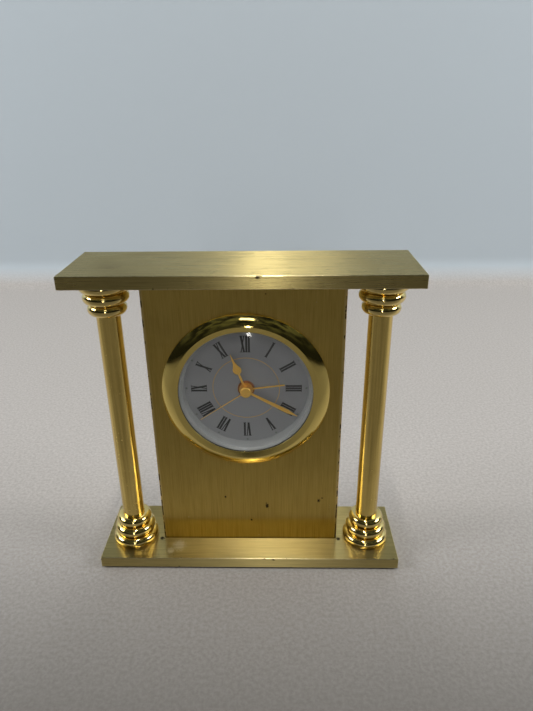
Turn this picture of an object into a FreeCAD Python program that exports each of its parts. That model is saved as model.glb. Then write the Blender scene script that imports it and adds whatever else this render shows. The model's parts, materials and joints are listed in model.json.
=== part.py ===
"""A brass column clock: two brushed plates, two ringed columns, a folded brass panel,
and a round quartz alarm insert with its whole wheel train.

Frame: +X to the right, +Y to the back, +Z up, millimetres.
Origin: centre of the felt's underside, where the clock rests.
Angles on the dial run clockwise from twelve, as someone in front of the clock reads them.
"""

import FreeCAD
import Part
import math
import os

Vector = FreeCAD.Vector

# ---- case: overall sizes -------------------------------------------------------------
HEIGHT = 142.8            # felt underside to the top plate's upper face
PLATE_D = 38.1            # depth of both plates
PLATE_T = 5.4             # thickness of both plates
PLATE_EDGE_R = 0.3        # broken edges of the plates
FELT_T = 0.8
FELT_INSET = 2.5          # felt kept back from the plate's edges
FELT_CORNER_R = 3.0

# ---- panel: a folded brass sheet -----------------------------------------------------
PANEL_W = 84.1
PANEL_Y = -5.3            # front face of the panel
PANEL_DEPTH = 20.0        # front face to the side walls' back edges
SHEET_T = 0.8
FOLD_R = 1.2              # outside radius of the two upright folds
TAB_DEPTH = 14.0          # top and bottom tabs, front face to back edge
TAB_INSET = 0.6           # gap between a tab and the side walls
PANEL_FASTENER_X = 25.0
PANEL_FASTENER_BACK = 8.5  # fastener axis behind the panel's front face

# ---- columns -------------------------------------------------------------------------
COLUMN_FROM_PANEL = 13.95  # panel edge to column axis
COLUMN_FROM_END = 13.85    # column axis to the plate's end
COLUMN_Y = -3.2
TUBE_R = 5.0
TUBE_WALL = 0.8
SOCKET_DEPTH = 1.5        # how far the tube sits in the top ring
SOCKET_CLEAR = 0.05
SOCKET_LIP = 0.55         # rim of the top ring around the tube
RING_HALF = 2.5           # half the height of one rounded ring
RING_FOOT = 2.3           # centre of the lowest ring above the plate: its foot is flat
RING_STEP_LOW = 1.2       # lowest ring stands out this much further than the middle one
RING_STEP_HIGH = 1.4      # middle ring stands out this much further than the top one

# ---- fasteners -----------------------------------------------------------------------
ROD_R = 1.5               # M3 tie rods, screws and studs
ROD_CLEAR = 0.2
THREAD_CLEAR = 0.03
THREAD_DEPTH = 3.4        # blind threads in the top plate
NUT_AF = 5.5
NUT_T = 2.4
WASHER_R = 3.5
WASHER_T = 0.5
ROD_END_GAP = 0.3         # nut face up inside the counterbore
COUNTERBORE_CLEAR = 0.5
SCREW_HEAD_R = 2.8
SCREW_HEAD_T = 2.0
SCREW_END = 1.4           # screw or stud past the sheet it holds
SCREW_SLOT_W = 0.8
SCREW_SLOT_DEPTH = 0.7

# ---- insert: bezel, crystal and housing ----------------------------------------------
INSERT_DROP = 50.5        # insert axis below the top plate
BEZEL_R = 36.1
BEZEL_EDGE = 1.0          # upright outer edge of the bezel
BEZEL_CREST_R = 31.4
BEZEL_CREST = 3.5         # crest in front of the panel
BEZEL_MOUTH_R = 29.0
BEZEL_MOUTH = 2.8         # inner lip in front of the panel
BEZEL_LIP_T = 0.35
BEZEL_BULGE = 0.22        # how convex the outer slope is
FLANGE_R = 33.9
FLANGE_T = 1.0
CRYSTAL_R = 30.0
CRYSTAL_EDGE_T = 1.0
CRYSTAL_DOME = 0.85       # flat middle in front of the crystal's seat
CRYSTAL_FLAT_R = 24.0
CRYSTAL_T = 1.5
CRYSTAL_ROLL = 0.25       # share of the dome's drop that is done halfway down the shoulder
GASKET_PRESS = 0.05       # gap behind the crystal's gasket
FIT_CLEAR = 0.1
GASKET_IN_R = 29.1
HOUSING_R = 29.2
HOUSING_WALL = 1.3
HOUSING_DEPTH = 18.3      # panel front face to the housing's open end
HOUSING_MOUTH_R = 28.9
HOUSING_STEP = 0.25       # panel front face to the step behind the housing's mouth
CELL_WALL_SHORT = 0.2     # cell walls end this far inside the cover
LEDGE_T = 0.8             # ledge behind the dial's plate
LEDGE_W = 1.0
PANEL_HOLE_R = 30.2
BAND_CLEAR = 0.05
BAND_RIB_R = 30.9
BAND_RIBS = 3
BAND_RIB_PITCH = 2.6
BAND_RELIEF = 0.6         # step down behind the first rib
BAND_RIB_SHARES = (0.3, 0.55, 0.85)   # rib's rise, crest end and foot, as shares of the pitch
DIAL_R = 27.6
DIAL_T = 0.4
DIAL_Y = -1.2             # face of the dial
DIAL_RING_TOP_R = 27.3
DIAL_RING_FOOT_R = 26.8
DIAL_RING_DROP = 0.1      # ring's top behind the crystal's seat
DIAL_RING_BEVEL_W = 1.25
DIAL_RING_BEVEL_H = 0.5
DIAL_RING_STEP_GAP = 0.05
COVER_T = 1.4
BOSS_R = 2.0
BOSS_RING_R = 26.3
BOSS_DEPTH = 9.0
BOSS_ANGLES = (45, 125, 235, 315)
COVER_SCREW_R = 0.85
COVER_SCREW_HEAD_R = 1.7
COVER_SCREW_HEAD_T = 0.7
COVER_SCREW_L = 6.0
CROSS_HALF_L = 1.1        # cross recess of the cover screws
CROSS_HALF_W = 0.25
CROSS_DEPTH = 0.4
GRILLE_SLOTS = 5          # sound slots over the buzzer
GRILLE_PITCH = 1.8
GRILLE_HALF_L = 3.5
GRILLE_HALF_W = 0.45

# ---- centre of the dial: nested tubes and hands ---------------------------------------
PIPE_GAP = 0.07           # running clearance between nested tubes
SECOND_ARBOR_R = 0.4
CANNON_WALL = 0.38
HOUR_WALL = 0.43
ALARM_WALL = 0.43
BUSH_R = 2.85
BUSH_FLANGE_R = 3.7
BUSH_FLANGE_T = 0.25
NUT_RING_R = 3.75
NUT_RING_T = 0.5
HAND_T = 0.2
HUB_T = 0.55
HAND_GAP = 0.3            # air between one hand's hub and the next hand
HUB_PRESS = 0.02
HUB_RADII = {"alarm": 3.0, "hour": 2.8, "minute": 2.6}
CAP_R = 2.45
CAP_T = 1.4
CAP_EDGE_R = 0.5
CAP_SKIN = 0.4            # cap's thickness over the end of the arbor
ARBOR_TIP_GAP = 0.05
HAND_ANGLES = {"alarm": 82.8, "hour": 339.6, "minute": 119.0, "second": 236.0}
ALARM_TIP_R = 17.0
ALARM_HAND_W = 0.75
HOUR_STEM_W = 0.95
HOUR_LEAF_START = 8.3
HOUR_LEAF_WIDE_AT = 11.0
HOUR_LEAF_W = 3.6
HOUR_TIP_R = 18.1
HOUR_LEAF_NECK = 0.42     # leaf's slim point, as a share of the way from widest place to tip
HOUR_LEAF_SHARES = (0.88, 0.56, 0.27)  # leaf's half-widths below, above and at the slim point
ALARM_TIP_SHARES = (0.8, 0.57)         # alarm hand's half-widths at the end and round the tip
MINUTE_STEM_W = 0.9
MINUTE_WIDE_AT = 20.8
MINUTE_WIDE_W = 1.8
MINUTE_TIP_R = 25.5
SECOND_HAND_W = 0.38
SECOND_TIP_R = 24.5
TIP_W = 0.16

# ---- wheel train -----------------------------------------------------------------------
MINUTE_DISTANCE = 8.4     # centre to minute-wheel arbor
ALARM_DISTANCE = 9.0      # centre to alarm-setting arbor
STEP_DISTANCE = 7.4       # centre to intermediate arbor
ROTOR_DISTANCE = 5.6      # intermediate arbor to rotor
THIRD_BEARING = 0.0
MINUTE_BEARING = 300.0
ALARM_BEARING = 60.0
STEP_BEARING = 120.0
ROTOR_BEARING = 110.0
PINION = 8                # leaves of every fast pinion
SECOND_TEETH = 40
STEP_TEETH = 48
THIRD_TEETH = 60
CENTRE_TEETH = 64
CANNON_TEETH = 12
MINUTE_TEETH = 36
MINUTE_PINION = 10
HOUR_TEETH = 40
ALARM_TEETH = 48
ALARM_PINION = 12
WHEEL_T = 0.55
PINION_OVER = 0.08        # pinion longer than its wheel on each face
ADDENDUM = 0.85           # in modules
FLANK_SPREAD = (1.45, 0.5)  # tooth's half-width at root and tip, in quarter pitches
WINDOW_AT = 0.56          # lightening windows: place and radius, as shares of the pitch radius
WINDOW_R = 0.24
DEDENDUM = 1.15
TOOTH_SHARE = 0.86        # tooth over space on the pitch circle: the rest is backlash
PIVOT_R = 0.35
ARBOR_R = 0.5
KNOB_ARBOR_R = 0.8
NECK_R = 1.0              # collar between a pinion and its wheel
PIVOT_GAP = 0.06
PIVOT_SHORT = 0.1         # pivot ends kept inside the far faces of their plates
SHOULDER_GAP = 0.05       # end shake of the arbors
THIRD_CLEAR = 0.27        # teeth of the seconds wheel to the third arbor
CLUTCH_HUB_WALL = 0.6
CLUTCH_HUB_OVER = 0.15
KNOB_SEAT = 0.5           # knob face to the end of its arbor
PLATE_FRONT_Y = -0.7      # front face of the dial-side plate
TRAIN_PLATE_T = 0.85
MAIN_PLATE_Y = 3.3
REAR_PLATE_Y = 9.6
ALARM_WHEEL_Y = 0.6
HOUR_WHEEL_Y = 1.4
MINUTE_WHEEL_Y = 2.35
CENTRE_WHEEL_Y = 4.3
THIRD_WHEEL_Y = 5.2
SECOND_WHEEL_Y = 6.1
STEP_WHEEL_Y = 6.95
ROTOR_Y = 7.7
ROTOR_R = 2.2
ROTOR_T = 1.4
PLATE_LEFT = -13.0
PLATE_RIGHT = 15.2
PLATE_LOW = -10.1
PLATE_HIGH = 18.0
PLATE_CORNER = 3.0
PILLAR_R = 1.1
PILLARS = ((0.0, 16.2), (-9.0, -7.2), (0.0, -8.9))

# ---- motor, circuit, buzzer and cell ---------------------------------------------------
STATOR_Y = 8.0
STATOR_T = 0.8
STATOR_PAD_R = 3.8
ROTOR_AIR = 0.4
LIMB_W = 2.4              # upright limb of the stator beside the rotor
CORE_X = 19.0
CORE_W = 2.0
CORE_LOW = -4.6
CORE_HIGH = 15.5
YOKE_W = 1.6
COIL_LOW = -1.6
COIL_HIGH = 13.5
COIL_FLANGE_R = 3.3
COIL_FLANGE_T = 0.6
COIL_TUBE_R = 1.9
WINDING_R = 2.9
BOARD_LEFT = -22.5
BOARD_RIGHT = -10.6
BOARD_LOW = -7.5
BOARD_HIGH = 14.0
BOARD_Y = 8.2
BOARD_T = 1.0
CHIP_R = 2.8
CHIP_T = 0.9
WINDING_GAP = 0.05
CRYSTAL_CAN_R = 1.0
CRYSTAL_CAN_L = 6.0
CRYSTAL_CAN_UP = 6.0
CRYSTAL_CAN_IN = 3.0      # can's axis from the board's right edge
BUZZER_R = 8.8
BUZZER_T = 2.0
BUZZER_UP = 18.0
BUZZER_PORT_R = 1.2
BUZZER_PORT_DEPTH = 0.6
CELL_R = 6.0
CELL_L = 29.0
CELL_NUB_R = 2.0
CELL_NUB_L = 1.2
CELL_DOWN = 16.4          # cell axis below the insert axis
CELL_Y = 6.8
CONTACT_T = 0.3
CONTACT_W = 8.0
CONTACT_LOW = -3.5        # contact strip's ends from the cell's axis
CONTACT_HIGH = 4.5
SPRING_HALF_H = 4.0
SPRING_LIP = 0.3

# ---- controls on the back ---------------------------------------------------------------
KNOB_R = 5.0
KNOB_T = 3.0
KNOB_FLUTES = 20
KNOB_FLUTE = 0.35
KNOB_GAP = 0.4
KNOB_RIM = 1.3            # width and height of the rim around the knob's dish
KNOB_DISH = 0.3
SWITCH_X = -17.5
SWITCH_UP = 8.0
SWITCH_TRAVEL = 3.0
SWITCH_STEM_W = 1.8
SWITCH_STEM_H = 2.4
SWITCH_CAP_W = 4.2
SWITCH_CAP_H = 5.0
SWITCH_CAP_T = 1.5
SWITCH_GAP = 0.12
SWITCH_FOOT_T = 0.8
SWITCH_FOOT_OVER = (0.8, 0.6)   # foot past the stem, across and up
SWITCH_GROOVES = 3
SWITCH_GROOVE_PITCH = 1.3
SWITCH_GROOVE_HALF_W = 0.3
SWITCH_GROOVE_DEPTH = 0.4
DOOR_HALF_W = 16.9
DOOR_TOP = -9.9
DOOR_T = 0.8
DOOR_GAP = 0.1
DOOR_TONGUE = 0.45
BAY_HALF_W = 16.0
BAY_LOW = -22.4
BAY_HIGH = -10.6
DOOR_RIDGES = 3
RIDGE_FIRST = 3.0         # first grip ridge below the door's top edge
RIDGE_PITCH = 1.2
RIDGE_HALF_L = 4.0
RIDGE_HALF_W = 0.3
RIDGE_H = 0.4

# ---- places that follow from the sizes above ----------------------------------------------
COLUMN_X = PANEL_W / 2 + COLUMN_FROM_PANEL
PLATE_W = 2 * (COLUMN_X + COLUMN_FROM_END)
BASE_TOP = FELT_T + PLATE_T
TOP_Z = HEIGHT - PLATE_T
AXIS_Z = TOP_Z - INSERT_DROP
RING_HIGH_R = TUBE_R + SOCKET_CLEAR + SOCKET_LIP + RING_HALF
RING_RADII = (RING_HIGH_R + RING_STEP_HIGH + RING_STEP_LOW, RING_HIGH_R + RING_STEP_HIGH, RING_HIGH_R)
RINGS_H = RING_FOOT + (2 * len(RING_RADII) - 1) * RING_HALF
SEAT_Y = PANEL_Y - FLANGE_T - GASKET_PRESS          # back of the crystal's gasket
COVER_Y = PANEL_Y + HOUSING_DEPTH           # housing's open end
BORE_R = HOUSING_R - HOUSING_WALL
CANNON_IN_R = SECOND_ARBOR_R + PIPE_GAP
CANNON_R = CANNON_IN_R + CANNON_WALL
HOUR_IN_R = CANNON_R + PIPE_GAP
HOUR_R = HOUR_IN_R + HOUR_WALL
ALARM_IN_R = HOUR_R + PIPE_GAP
ALARM_R = ALARM_IN_R + ALARM_WALL
BUSH_IN_R = ALARM_R + PIPE_GAP
BUSH_FRONT = DIAL_Y - NUT_RING_T - 0.05
ALARM_HUB_Y = BUSH_FRONT - 0.1              # back of the alarm hand's hub
HOUR_HUB_Y = ALARM_HUB_Y - HUB_T - HAND_GAP
MINUTE_HUB_Y = HOUR_HUB_Y - HUB_T - HAND_GAP
CAP_Y = MINUTE_HUB_Y - HUB_T - HAND_GAP
KNOB_Y = COVER_Y + COVER_T + KNOB_GAP


def bearing(distance, angle, start=(0.0, 0.0)):
    """A point at a dial angle and distance from start, as (x, height above the insert axis)."""
    turn = math.radians(angle)
    return (start[0] + distance * math.sin(turn), start[1] + distance * math.cos(turn))


CENTRE = (0.0, 0.0)
SECOND_MODULE = 2 * STEP_DISTANCE / (PINION + SECOND_TEETH)
SECOND_TIP_R = SECOND_MODULE * (SECOND_TEETH / 2 + ADDENDUM)
THIRD_DISTANCE = SECOND_TIP_R + THIRD_CLEAR + ARBOR_R   # centre to third arbor
THIRD_AT = bearing(THIRD_DISTANCE, THIRD_BEARING)
MINUTE_AT = bearing(MINUTE_DISTANCE, MINUTE_BEARING)
ALARM_AT = bearing(ALARM_DISTANCE, ALARM_BEARING)
STEP_AT = bearing(STEP_DISTANCE, STEP_BEARING)
ROTOR_AT = bearing(ROTOR_DISTANCE, ROTOR_BEARING, STEP_AT)
STEP_MODULE = 2 * ROTOR_DISTANCE / (PINION + STEP_TEETH)
THIRD_MODULE = 2 * THIRD_DISTANCE / (PINION + THIRD_TEETH)
CENTRE_MODULE = 2 * THIRD_DISTANCE / (PINION + CENTRE_TEETH)
MINUTE_MODULE = 2 * MINUTE_DISTANCE / (CANNON_TEETH + MINUTE_TEETH)
HOUR_MODULE = 2 * MINUTE_DISTANCE / (MINUTE_PINION + HOUR_TEETH)
ALARM_MODULE = 2 * ALARM_DISTANCE / (ALARM_TEETH + ALARM_PINION)


# ---- shape helpers ----------------------------------------------------------------------
def face(place, start, *steps):
    """A closed face. A step is a point, or a (middle, end) pair for an arc."""
    edges = []
    here = start
    for step in steps:
        if isinstance(step[0], tuple):
            middle, end = step
            edges.append(Part.Arc(place(here), place(middle), place(end)).toShape())
        else:
            end = step
            edges.append(Part.LineSegment(place(here), place(end)).toShape())
        here = end
    if here != start:
        edges.append(Part.LineSegment(place(here), place(start)).toShape())
    return Part.Face(Part.Wire(edges))


def upright(shape):
    """Makes sure that a solid's faces point outwards."""
    if shape.Volume < 0:
        shape.reverse()
    return shape


def turned_z(*outline):
    """Turns an outline of (radius, z) about the Z axis."""
    section = face(lambda p: Vector(p[0], 0, p[1]), *outline)
    return upright(section.revolve(Vector(0, 0, 0), Vector(0, 0, 1), 360))


def turned_y(*outline):
    """Turns an outline of (radius, y) about the insert axis."""
    section = face(lambda p: Vector(p[0], p[1], 0), *outline)
    solid = upright(section.revolve(Vector(0, 0, 0), Vector(0, 1, 0), 360))
    return solid.translated(Vector(0, 0, AXIS_Z))


def dial_place(y):
    """Places (x, height above the insert axis) in the plane at y."""
    return lambda p: Vector(p[0], y, AXIS_Z + p[1])


def slab(y0, y1, *outline):
    """A flat piece between two planes, cut to an outline seen from the front."""
    return upright(face(dial_place(y0), *outline).extrude(Vector(0, y1 - y0, 0)))


def rod(r, y0, y1, at=CENTRE):
    """A round bar along Y."""
    return Part.makeCylinder(r, y1 - y0, Vector(at[0], y0, AXIS_Z + at[1]), Vector(0, 1, 0))


def pipe(r_in, r_out, y0, y1, at=CENTRE):
    """A tube along Y."""
    return rod(r_out, y0, y1, at).cut(rod(r_in, y0 - 1, y1 + 1, at))


def post(r, z0, z1, x, y):
    """A round bar along Z."""
    return Part.makeCylinder(r, z1 - z0, Vector(x, y, z0), Vector(0, 0, 1))


def block(x0, x1, y0, y1, z0, z1):
    return Part.makeBox(x1 - x0, y1 - y0, z1 - z0, Vector(x0, y0, z0))


def rounded(x0, x1, low, high, r):
    """A rounded rectangle's outline, for slab."""
    q = r * (1 - math.sqrt(0.5))
    return (
        (x0 + r, low),
        (x1 - r, low),
        ((x1 - q, low + q), (x1, low + r)),
        (x1, high - r),
        ((x1 - q, high - q), (x1 - r, high)),
        (x0 + r, high),
        ((x0 + q, high - q), (x0, high - r)),
        (x0, low + r),
        ((x0 + q, low + q), (x0 + r, low)),
    )


def joined(first, *others):
    return first.fuse(list(others)).removeSplitter()


def turned_to(shape, angle):
    """Turns a hand from twelve o'clock to a dial angle."""
    return shape.rotated(Vector(0, 0, AXIS_Z), Vector(0, 1, 0), angle)


def hexagon(af, z0, z1, x, y):
    corner = af / math.sqrt(3)
    turns = [math.radians(60 * i) for i in range(7)]
    wire = Part.makePolygon([Vector(x + corner * math.cos(a), y + corner * math.sin(a), z0) for a in turns])
    return Part.Face(wire).extrude(Vector(0, 0, z1 - z0))


def group(*solids):
    return Part.makeCompound(list(solids))


def sides():
    """The two columns' places."""
    return (-COLUMN_X, COLUMN_X)


def panel_fasteners():
    """Places of the screws below and the studs above, as (x, y)."""
    y = PANEL_Y + PANEL_FASTENER_BACK
    return ((-PANEL_FASTENER_X, y), (PANEL_FASTENER_X, y))


# ---- gears -------------------------------------------------------------------------------
def tip_radius(teeth, module):
    return module * (teeth / 2 + ADDENDUM)


def mate(phase, teeth, towards, other_teeth):
    """Phase of a wheel that meshes with one at the given phase, lying in direction towards."""
    along = (towards - phase) * teeth / 360
    return towards + 180 - (0.5 - along) * 360 / other_teeth


def toothed(teeth, module, y0, y1, phase, at=CENTRE):
    """A spur wheel with straight-flanked teeth. Phase is the dial angle of one tooth."""
    root_r = module * (teeth / 2 - DEDENDUM)
    tip_r = tip_radius(teeth, module)
    half = 90 / teeth * TOOTH_SHARE
    at_root, at_tip = FLANK_SPREAD
    points = []
    for i in range(teeth):
        angle = phase + i * 360 / teeth
        for r, spread in ((root_r, -at_root), (tip_r, -at_tip), (tip_r, at_tip), (root_r, at_root)):
            points.append(bearing(r, angle + spread * half, at))
    wire = Part.makePolygon([dial_place(y0)(p) for p in points + points[:1]])
    return upright(Part.Face(wire).extrude(Vector(0, y1 - y0, 0)))


def pinion(teeth, module, wheel_y, phase, at=CENTRE):
    """A pinion a little longer than the wheel that it drives."""
    return toothed(teeth, module, wheel_y - PINION_OVER, wheel_y + WHEEL_T + PINION_OVER, phase, at)


def lightening(teeth, module, at, count=3):
    """Round windows through a wheel's web."""
    pitch_r = module * teeth / 2
    spots = [bearing(pitch_r * WINDOW_AT, 360 / count * (i + 0.5), at) for i in range(count)]
    return [rod(pitch_r * WINDOW_R, -10, 20, spot) for spot in spots]


def wheel(teeth, module, y, phase, at=CENTRE):
    """A toothed wheel with windows in its web."""
    return toothed(teeth, module, y, y + WHEEL_T, phase, at).cut(lightening(teeth, module, at))


def phases():
    """Every wheel's phase, worked out along the train so that all are in mesh at rest."""
    p = {"second": 0.0, "cannon": 0.0, "alarm": 0.0, "second_pinion": 0.0}
    p["step_pinion"] = mate(p["second"], SECOND_TEETH, STEP_BEARING, PINION)
    p["step"] = p["step_pinion"]
    p["rotor"] = mate(p["step"], STEP_TEETH, ROTOR_BEARING, PINION)
    p["third"] = mate(p["second_pinion"], PINION, THIRD_BEARING, THIRD_TEETH)
    p["third_pinion"] = p["third"]
    p["centre"] = mate(p["third_pinion"], PINION, THIRD_BEARING + 180, CENTRE_TEETH)
    p["minute"] = mate(p["cannon"], CANNON_TEETH, MINUTE_BEARING, MINUTE_TEETH)
    p["minute_pinion"] = p["minute"]
    p["hour"] = mate(p["minute_pinion"], MINUTE_PINION, MINUTE_BEARING + 180, HOUR_TEETH)
    p["alarm_pinion"] = mate(p["alarm"], ALARM_TEETH, ALARM_BEARING, ALARM_PINION)
    return p


PHASE = phases()


# ---- case ---------------------------------------------------------------------------------
def broken_plate(z0):
    """A plate with its edges just broken."""
    plate = block(-PLATE_W / 2, PLATE_W / 2, -PLATE_D / 2, PLATE_D / 2, z0, z0 + PLATE_T)
    return plate.makeFillet(PLATE_EDGE_R, plate.Edges)


def base_plate():
    plate = broken_plate(FELT_T)
    well = ROD_END_GAP + NUT_T + WASHER_T
    for x in sides():
        plate = plate.cut(post(ROD_R + ROD_CLEAR, 0, BASE_TOP + 1, x, COLUMN_Y))
        plate = plate.cut(post(WASHER_R + COUNTERBORE_CLEAR, 0, FELT_T + well, x, COLUMN_Y))
    for x, y in panel_fasteners():
        plate = plate.cut(post(ROD_R + ROD_CLEAR, 0, BASE_TOP + 1, x, y))
        screw_well = FELT_T + ROD_END_GAP + SCREW_HEAD_T
        plate = plate.cut(post(SCREW_HEAD_R + COUNTERBORE_CLEAR, 0, screw_well, x, y))
    return plate


def top_plate():
    plate = broken_plate(TOP_Z)
    spots = [(x, COLUMN_Y) for x in sides()] + list(panel_fasteners())
    for x, y in spots:
        plate = plate.cut(post(ROD_R + THREAD_CLEAR, TOP_Z - 1, TOP_Z + THREAD_DEPTH + ROD_END_GAP, x, y))
    return plate


def felt_pad():
    half_w = PLATE_W / 2 - FELT_INSET
    half_d = PLATE_D / 2 - FELT_INSET
    pad = block(-half_w, half_w, -half_d, half_d, 0, FELT_T)
    corners = [e for e in pad.Edges if abs(e.Vertexes[0].Z - e.Vertexes[-1].Z) > FELT_T / 2]
    return pad.makeFillet(FELT_CORNER_R, corners)


def ring_stack():
    """Three rounded rings, the widest at the foot, with a socket for the tube on top."""
    bore = ROD_R + ROD_CLEAR
    flat = math.sqrt(RING_HALF ** 2 - RING_FOOT ** 2)
    low_r, mid_r, high_r = [r - RING_HALF for r in RING_RADII]
    z1 = RING_FOOT + RING_HALF
    z2 = z1 + 2 * RING_HALF
    z3 = z2 + 2 * RING_HALF
    socket_r = TUBE_R + SOCKET_CLEAR
    return turned_z(
        (bore, 0),
        (low_r + flat, 0),
        ((low_r + RING_HALF, RING_FOOT), (low_r, z1)),
        (mid_r, z1),
        ((mid_r + RING_HALF, z1 + RING_HALF), (mid_r, z2)),
        (high_r, z2),
        ((high_r + RING_HALF, z2 + RING_HALF), (high_r, z3)),
        (socket_r, z3),
        (socket_r, z3 - SOCKET_DEPTH),
        (bore, z3 - SOCKET_DEPTH),
    )


def column_base(x):
    return ring_stack().translated(Vector(x, COLUMN_Y, BASE_TOP))


def capital(x):
    turned = ring_stack().rotated(Vector(0, 0, 0), Vector(1, 0, 0), 180)
    return turned.translated(Vector(x, COLUMN_Y, TOP_Z))


def column_tube(x):
    z0 = BASE_TOP + RINGS_H - SOCKET_DEPTH
    z1 = TOP_Z - RINGS_H + SOCKET_DEPTH
    tube = post(TUBE_R, z0, z1, x, COLUMN_Y)
    return tube.cut(post(TUBE_R - TUBE_WALL, z0 - 1, z1 + 1, x, COLUMN_Y))


def tie_rods():
    z0 = FELT_T + ROD_END_GAP
    return group(*[post(ROD_R, z0, TOP_Z + THREAD_DEPTH, x, COLUMN_Y) for x in sides()])


def nut(z0, x, y):
    return hexagon(NUT_AF, z0, z0 + NUT_T, x, y).cut(post(ROD_R + THREAD_CLEAR, z0 - 1, z0 + NUT_T + 1, x, y))


def tie_rod_nuts():
    return group(*[nut(FELT_T + ROD_END_GAP, x, COLUMN_Y) for x in sides()])


def tie_rod_washers():
    z0 = FELT_T + ROD_END_GAP + NUT_T
    rings = []
    for x in sides():
        hole = post(ROD_R + ROD_CLEAR, z0 - 1, z0 + WASHER_T + 1, x, COLUMN_Y)
        rings.append(post(WASHER_R, z0, z0 + WASHER_T, x, COLUMN_Y).cut(hole))
    return group(*rings)


def fold_section(half, front, r, back):
    """A U seen from above, with round folds, for the panel's outside or inside."""
    q = r * (1 - math.sqrt(0.5))
    return (
        (-half, back),
        (-half, front + r),
        ((-half + q, front + q), (-half + r, front)),
        (half - r, front),
        ((half - q, front + q), (half, front + r)),
        (half, back),
    )


def panel_shell():
    """A front sheet with two side walls folded back and a tab at the top and bottom."""
    half = PANEL_W / 2
    back = PANEL_Y + PANEL_DEPTH
    height = TOP_Z - BASE_TOP
    place = lambda p: Vector(p[0], p[1], BASE_TOP)
    outside = face(place, *fold_section(half, PANEL_Y, FOLD_R, back)).extrude(Vector(0, 0, height))
    inner = fold_section(half - SHEET_T, PANEL_Y + SHEET_T, FOLD_R - SHEET_T, back + 1)
    shell = upright(outside).cut(upright(face(place, *inner).extrude(Vector(0, 0, height))))
    reach = half - SHEET_T - TAB_INSET
    tabs = []
    for z0, hole_r in ((BASE_TOP, ROD_R + THREAD_CLEAR), (TOP_Z - SHEET_T, ROD_R + ROD_CLEAR)):
        tab = block(-reach, reach, PANEL_Y + SHEET_T / 2, PANEL_Y + TAB_DEPTH, z0, z0 + SHEET_T)
        for x, y in panel_fasteners():
            tab = tab.cut(post(hole_r, z0 - 1, z0 + SHEET_T + 1, x, y))
        tabs.append(tab)
    shell = joined(shell, *tabs)
    return shell.cut(rod(PANEL_HOLE_R, PANEL_Y - 1, PANEL_Y + SHEET_T + 1))


def panel_screws():
    z0 = FELT_T + ROD_END_GAP
    screws = []
    for x, y in panel_fasteners():
        head = post(SCREW_HEAD_R, z0, z0 + SCREW_HEAD_T, x, y)
        shank = post(ROD_R, z0 + SCREW_HEAD_T / 2, BASE_TOP + SHEET_T + SCREW_END, x, y)
        half = SCREW_SLOT_W / 2
        slot = block(x - SCREW_HEAD_R, x + SCREW_HEAD_R, y - half, y + half, z0, z0 + SCREW_SLOT_DEPTH)
        screws.append(joined(head, shank).cut(slot))
    return group(*screws)


def panel_studs():
    z0 = TOP_Z - SHEET_T - NUT_T - SCREW_END
    return group(*[post(ROD_R, z0, TOP_Z + THREAD_DEPTH, x, y) for x, y in panel_fasteners()])


def panel_stud_nuts():
    return group(*[nut(TOP_Z - SHEET_T - NUT_T, x, y) for x, y in panel_fasteners()])


# ---- insert's outside ------------------------------------------------------------------------
def bezel():
    """A polished ring: upright edge, bulged outer slope, crest, inner slope, crystal seat."""
    edge_y = PANEL_Y - BEZEL_EDGE
    crest_y = PANEL_Y - BEZEL_CREST
    mouth_y = PANEL_Y - BEZEL_MOUTH
    bulge_r = (BEZEL_R + BEZEL_CREST_R) / 2 + BEZEL_BULGE / 2
    bulge_y = (edge_y + crest_y) / 2 - BEZEL_BULGE
    seat_r = CRYSTAL_R + FIT_CLEAR
    return turned_y(
        (BEZEL_R, PANEL_Y),
        (BEZEL_R, edge_y),
        ((bulge_r, bulge_y), (BEZEL_CREST_R, crest_y)),
        (BEZEL_MOUTH_R, mouth_y),
        (BEZEL_MOUTH_R, mouth_y + BEZEL_LIP_T),
        (seat_r, mouth_y + BEZEL_LIP_T),
        (seat_r, SEAT_Y),
        (FLANGE_R + FIT_CLEAR, SEAT_Y),
        (FLANGE_R + FIT_CLEAR, PANEL_Y),
    )


def crystal():
    """A clear cover, flat in the middle and rolled down to its seat."""
    seat = PANEL_Y - BEZEL_MOUTH + BEZEL_LIP_T
    front = seat - CRYSTAL_DOME
    drop = CRYSTAL_DOME * CRYSTAL_ROLL
    shoulder = (CRYSTAL_FLAT_R + BEZEL_MOUTH_R) / 2
    back = seat + CRYSTAL_EDGE_T
    inside = front + CRYSTAL_T
    return turned_y(
        (0, front),
        (CRYSTAL_FLAT_R, front),
        ((shoulder, front + drop), (BEZEL_MOUTH_R, seat)),
        (CRYSTAL_R, seat),
        (CRYSTAL_R, back),
        (BEZEL_MOUTH_R, back),
        ((shoulder, inside + (back - inside) * CRYSTAL_ROLL), (CRYSTAL_FLAT_R, inside)),
        (0, inside),
    )


def crystal_gasket():
    seat = PANEL_Y - BEZEL_MOUTH + BEZEL_LIP_T + CRYSTAL_EDGE_T
    return pipe(GASKET_IN_R, CRYSTAL_R, seat, SEAT_Y)


def dial_ring():
    """The pale ring between the dial and the crystal."""
    top = SEAT_Y + DIAL_RING_DROP
    step = PANEL_Y + HOUSING_STEP - DIAL_RING_STEP_GAP
    return turned_y(
        (DIAL_RING_TOP_R, top + DIAL_RING_BEVEL_H),
        (DIAL_RING_TOP_R + DIAL_RING_BEVEL_W, top),
        (HOUSING_MOUTH_R - FIT_CLEAR, top),
        (HOUSING_MOUTH_R - FIT_CLEAR, step),
        (BORE_R - FIT_CLEAR, step),
        (BORE_R - FIT_CLEAR, DIAL_Y),
        (DIAL_RING_FOOT_R, DIAL_Y),
    )


def dial():
    return pipe(BUSH_R + PIVOT_GAP, DIAL_R, DIAL_Y, DIAL_Y + DIAL_T)


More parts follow.
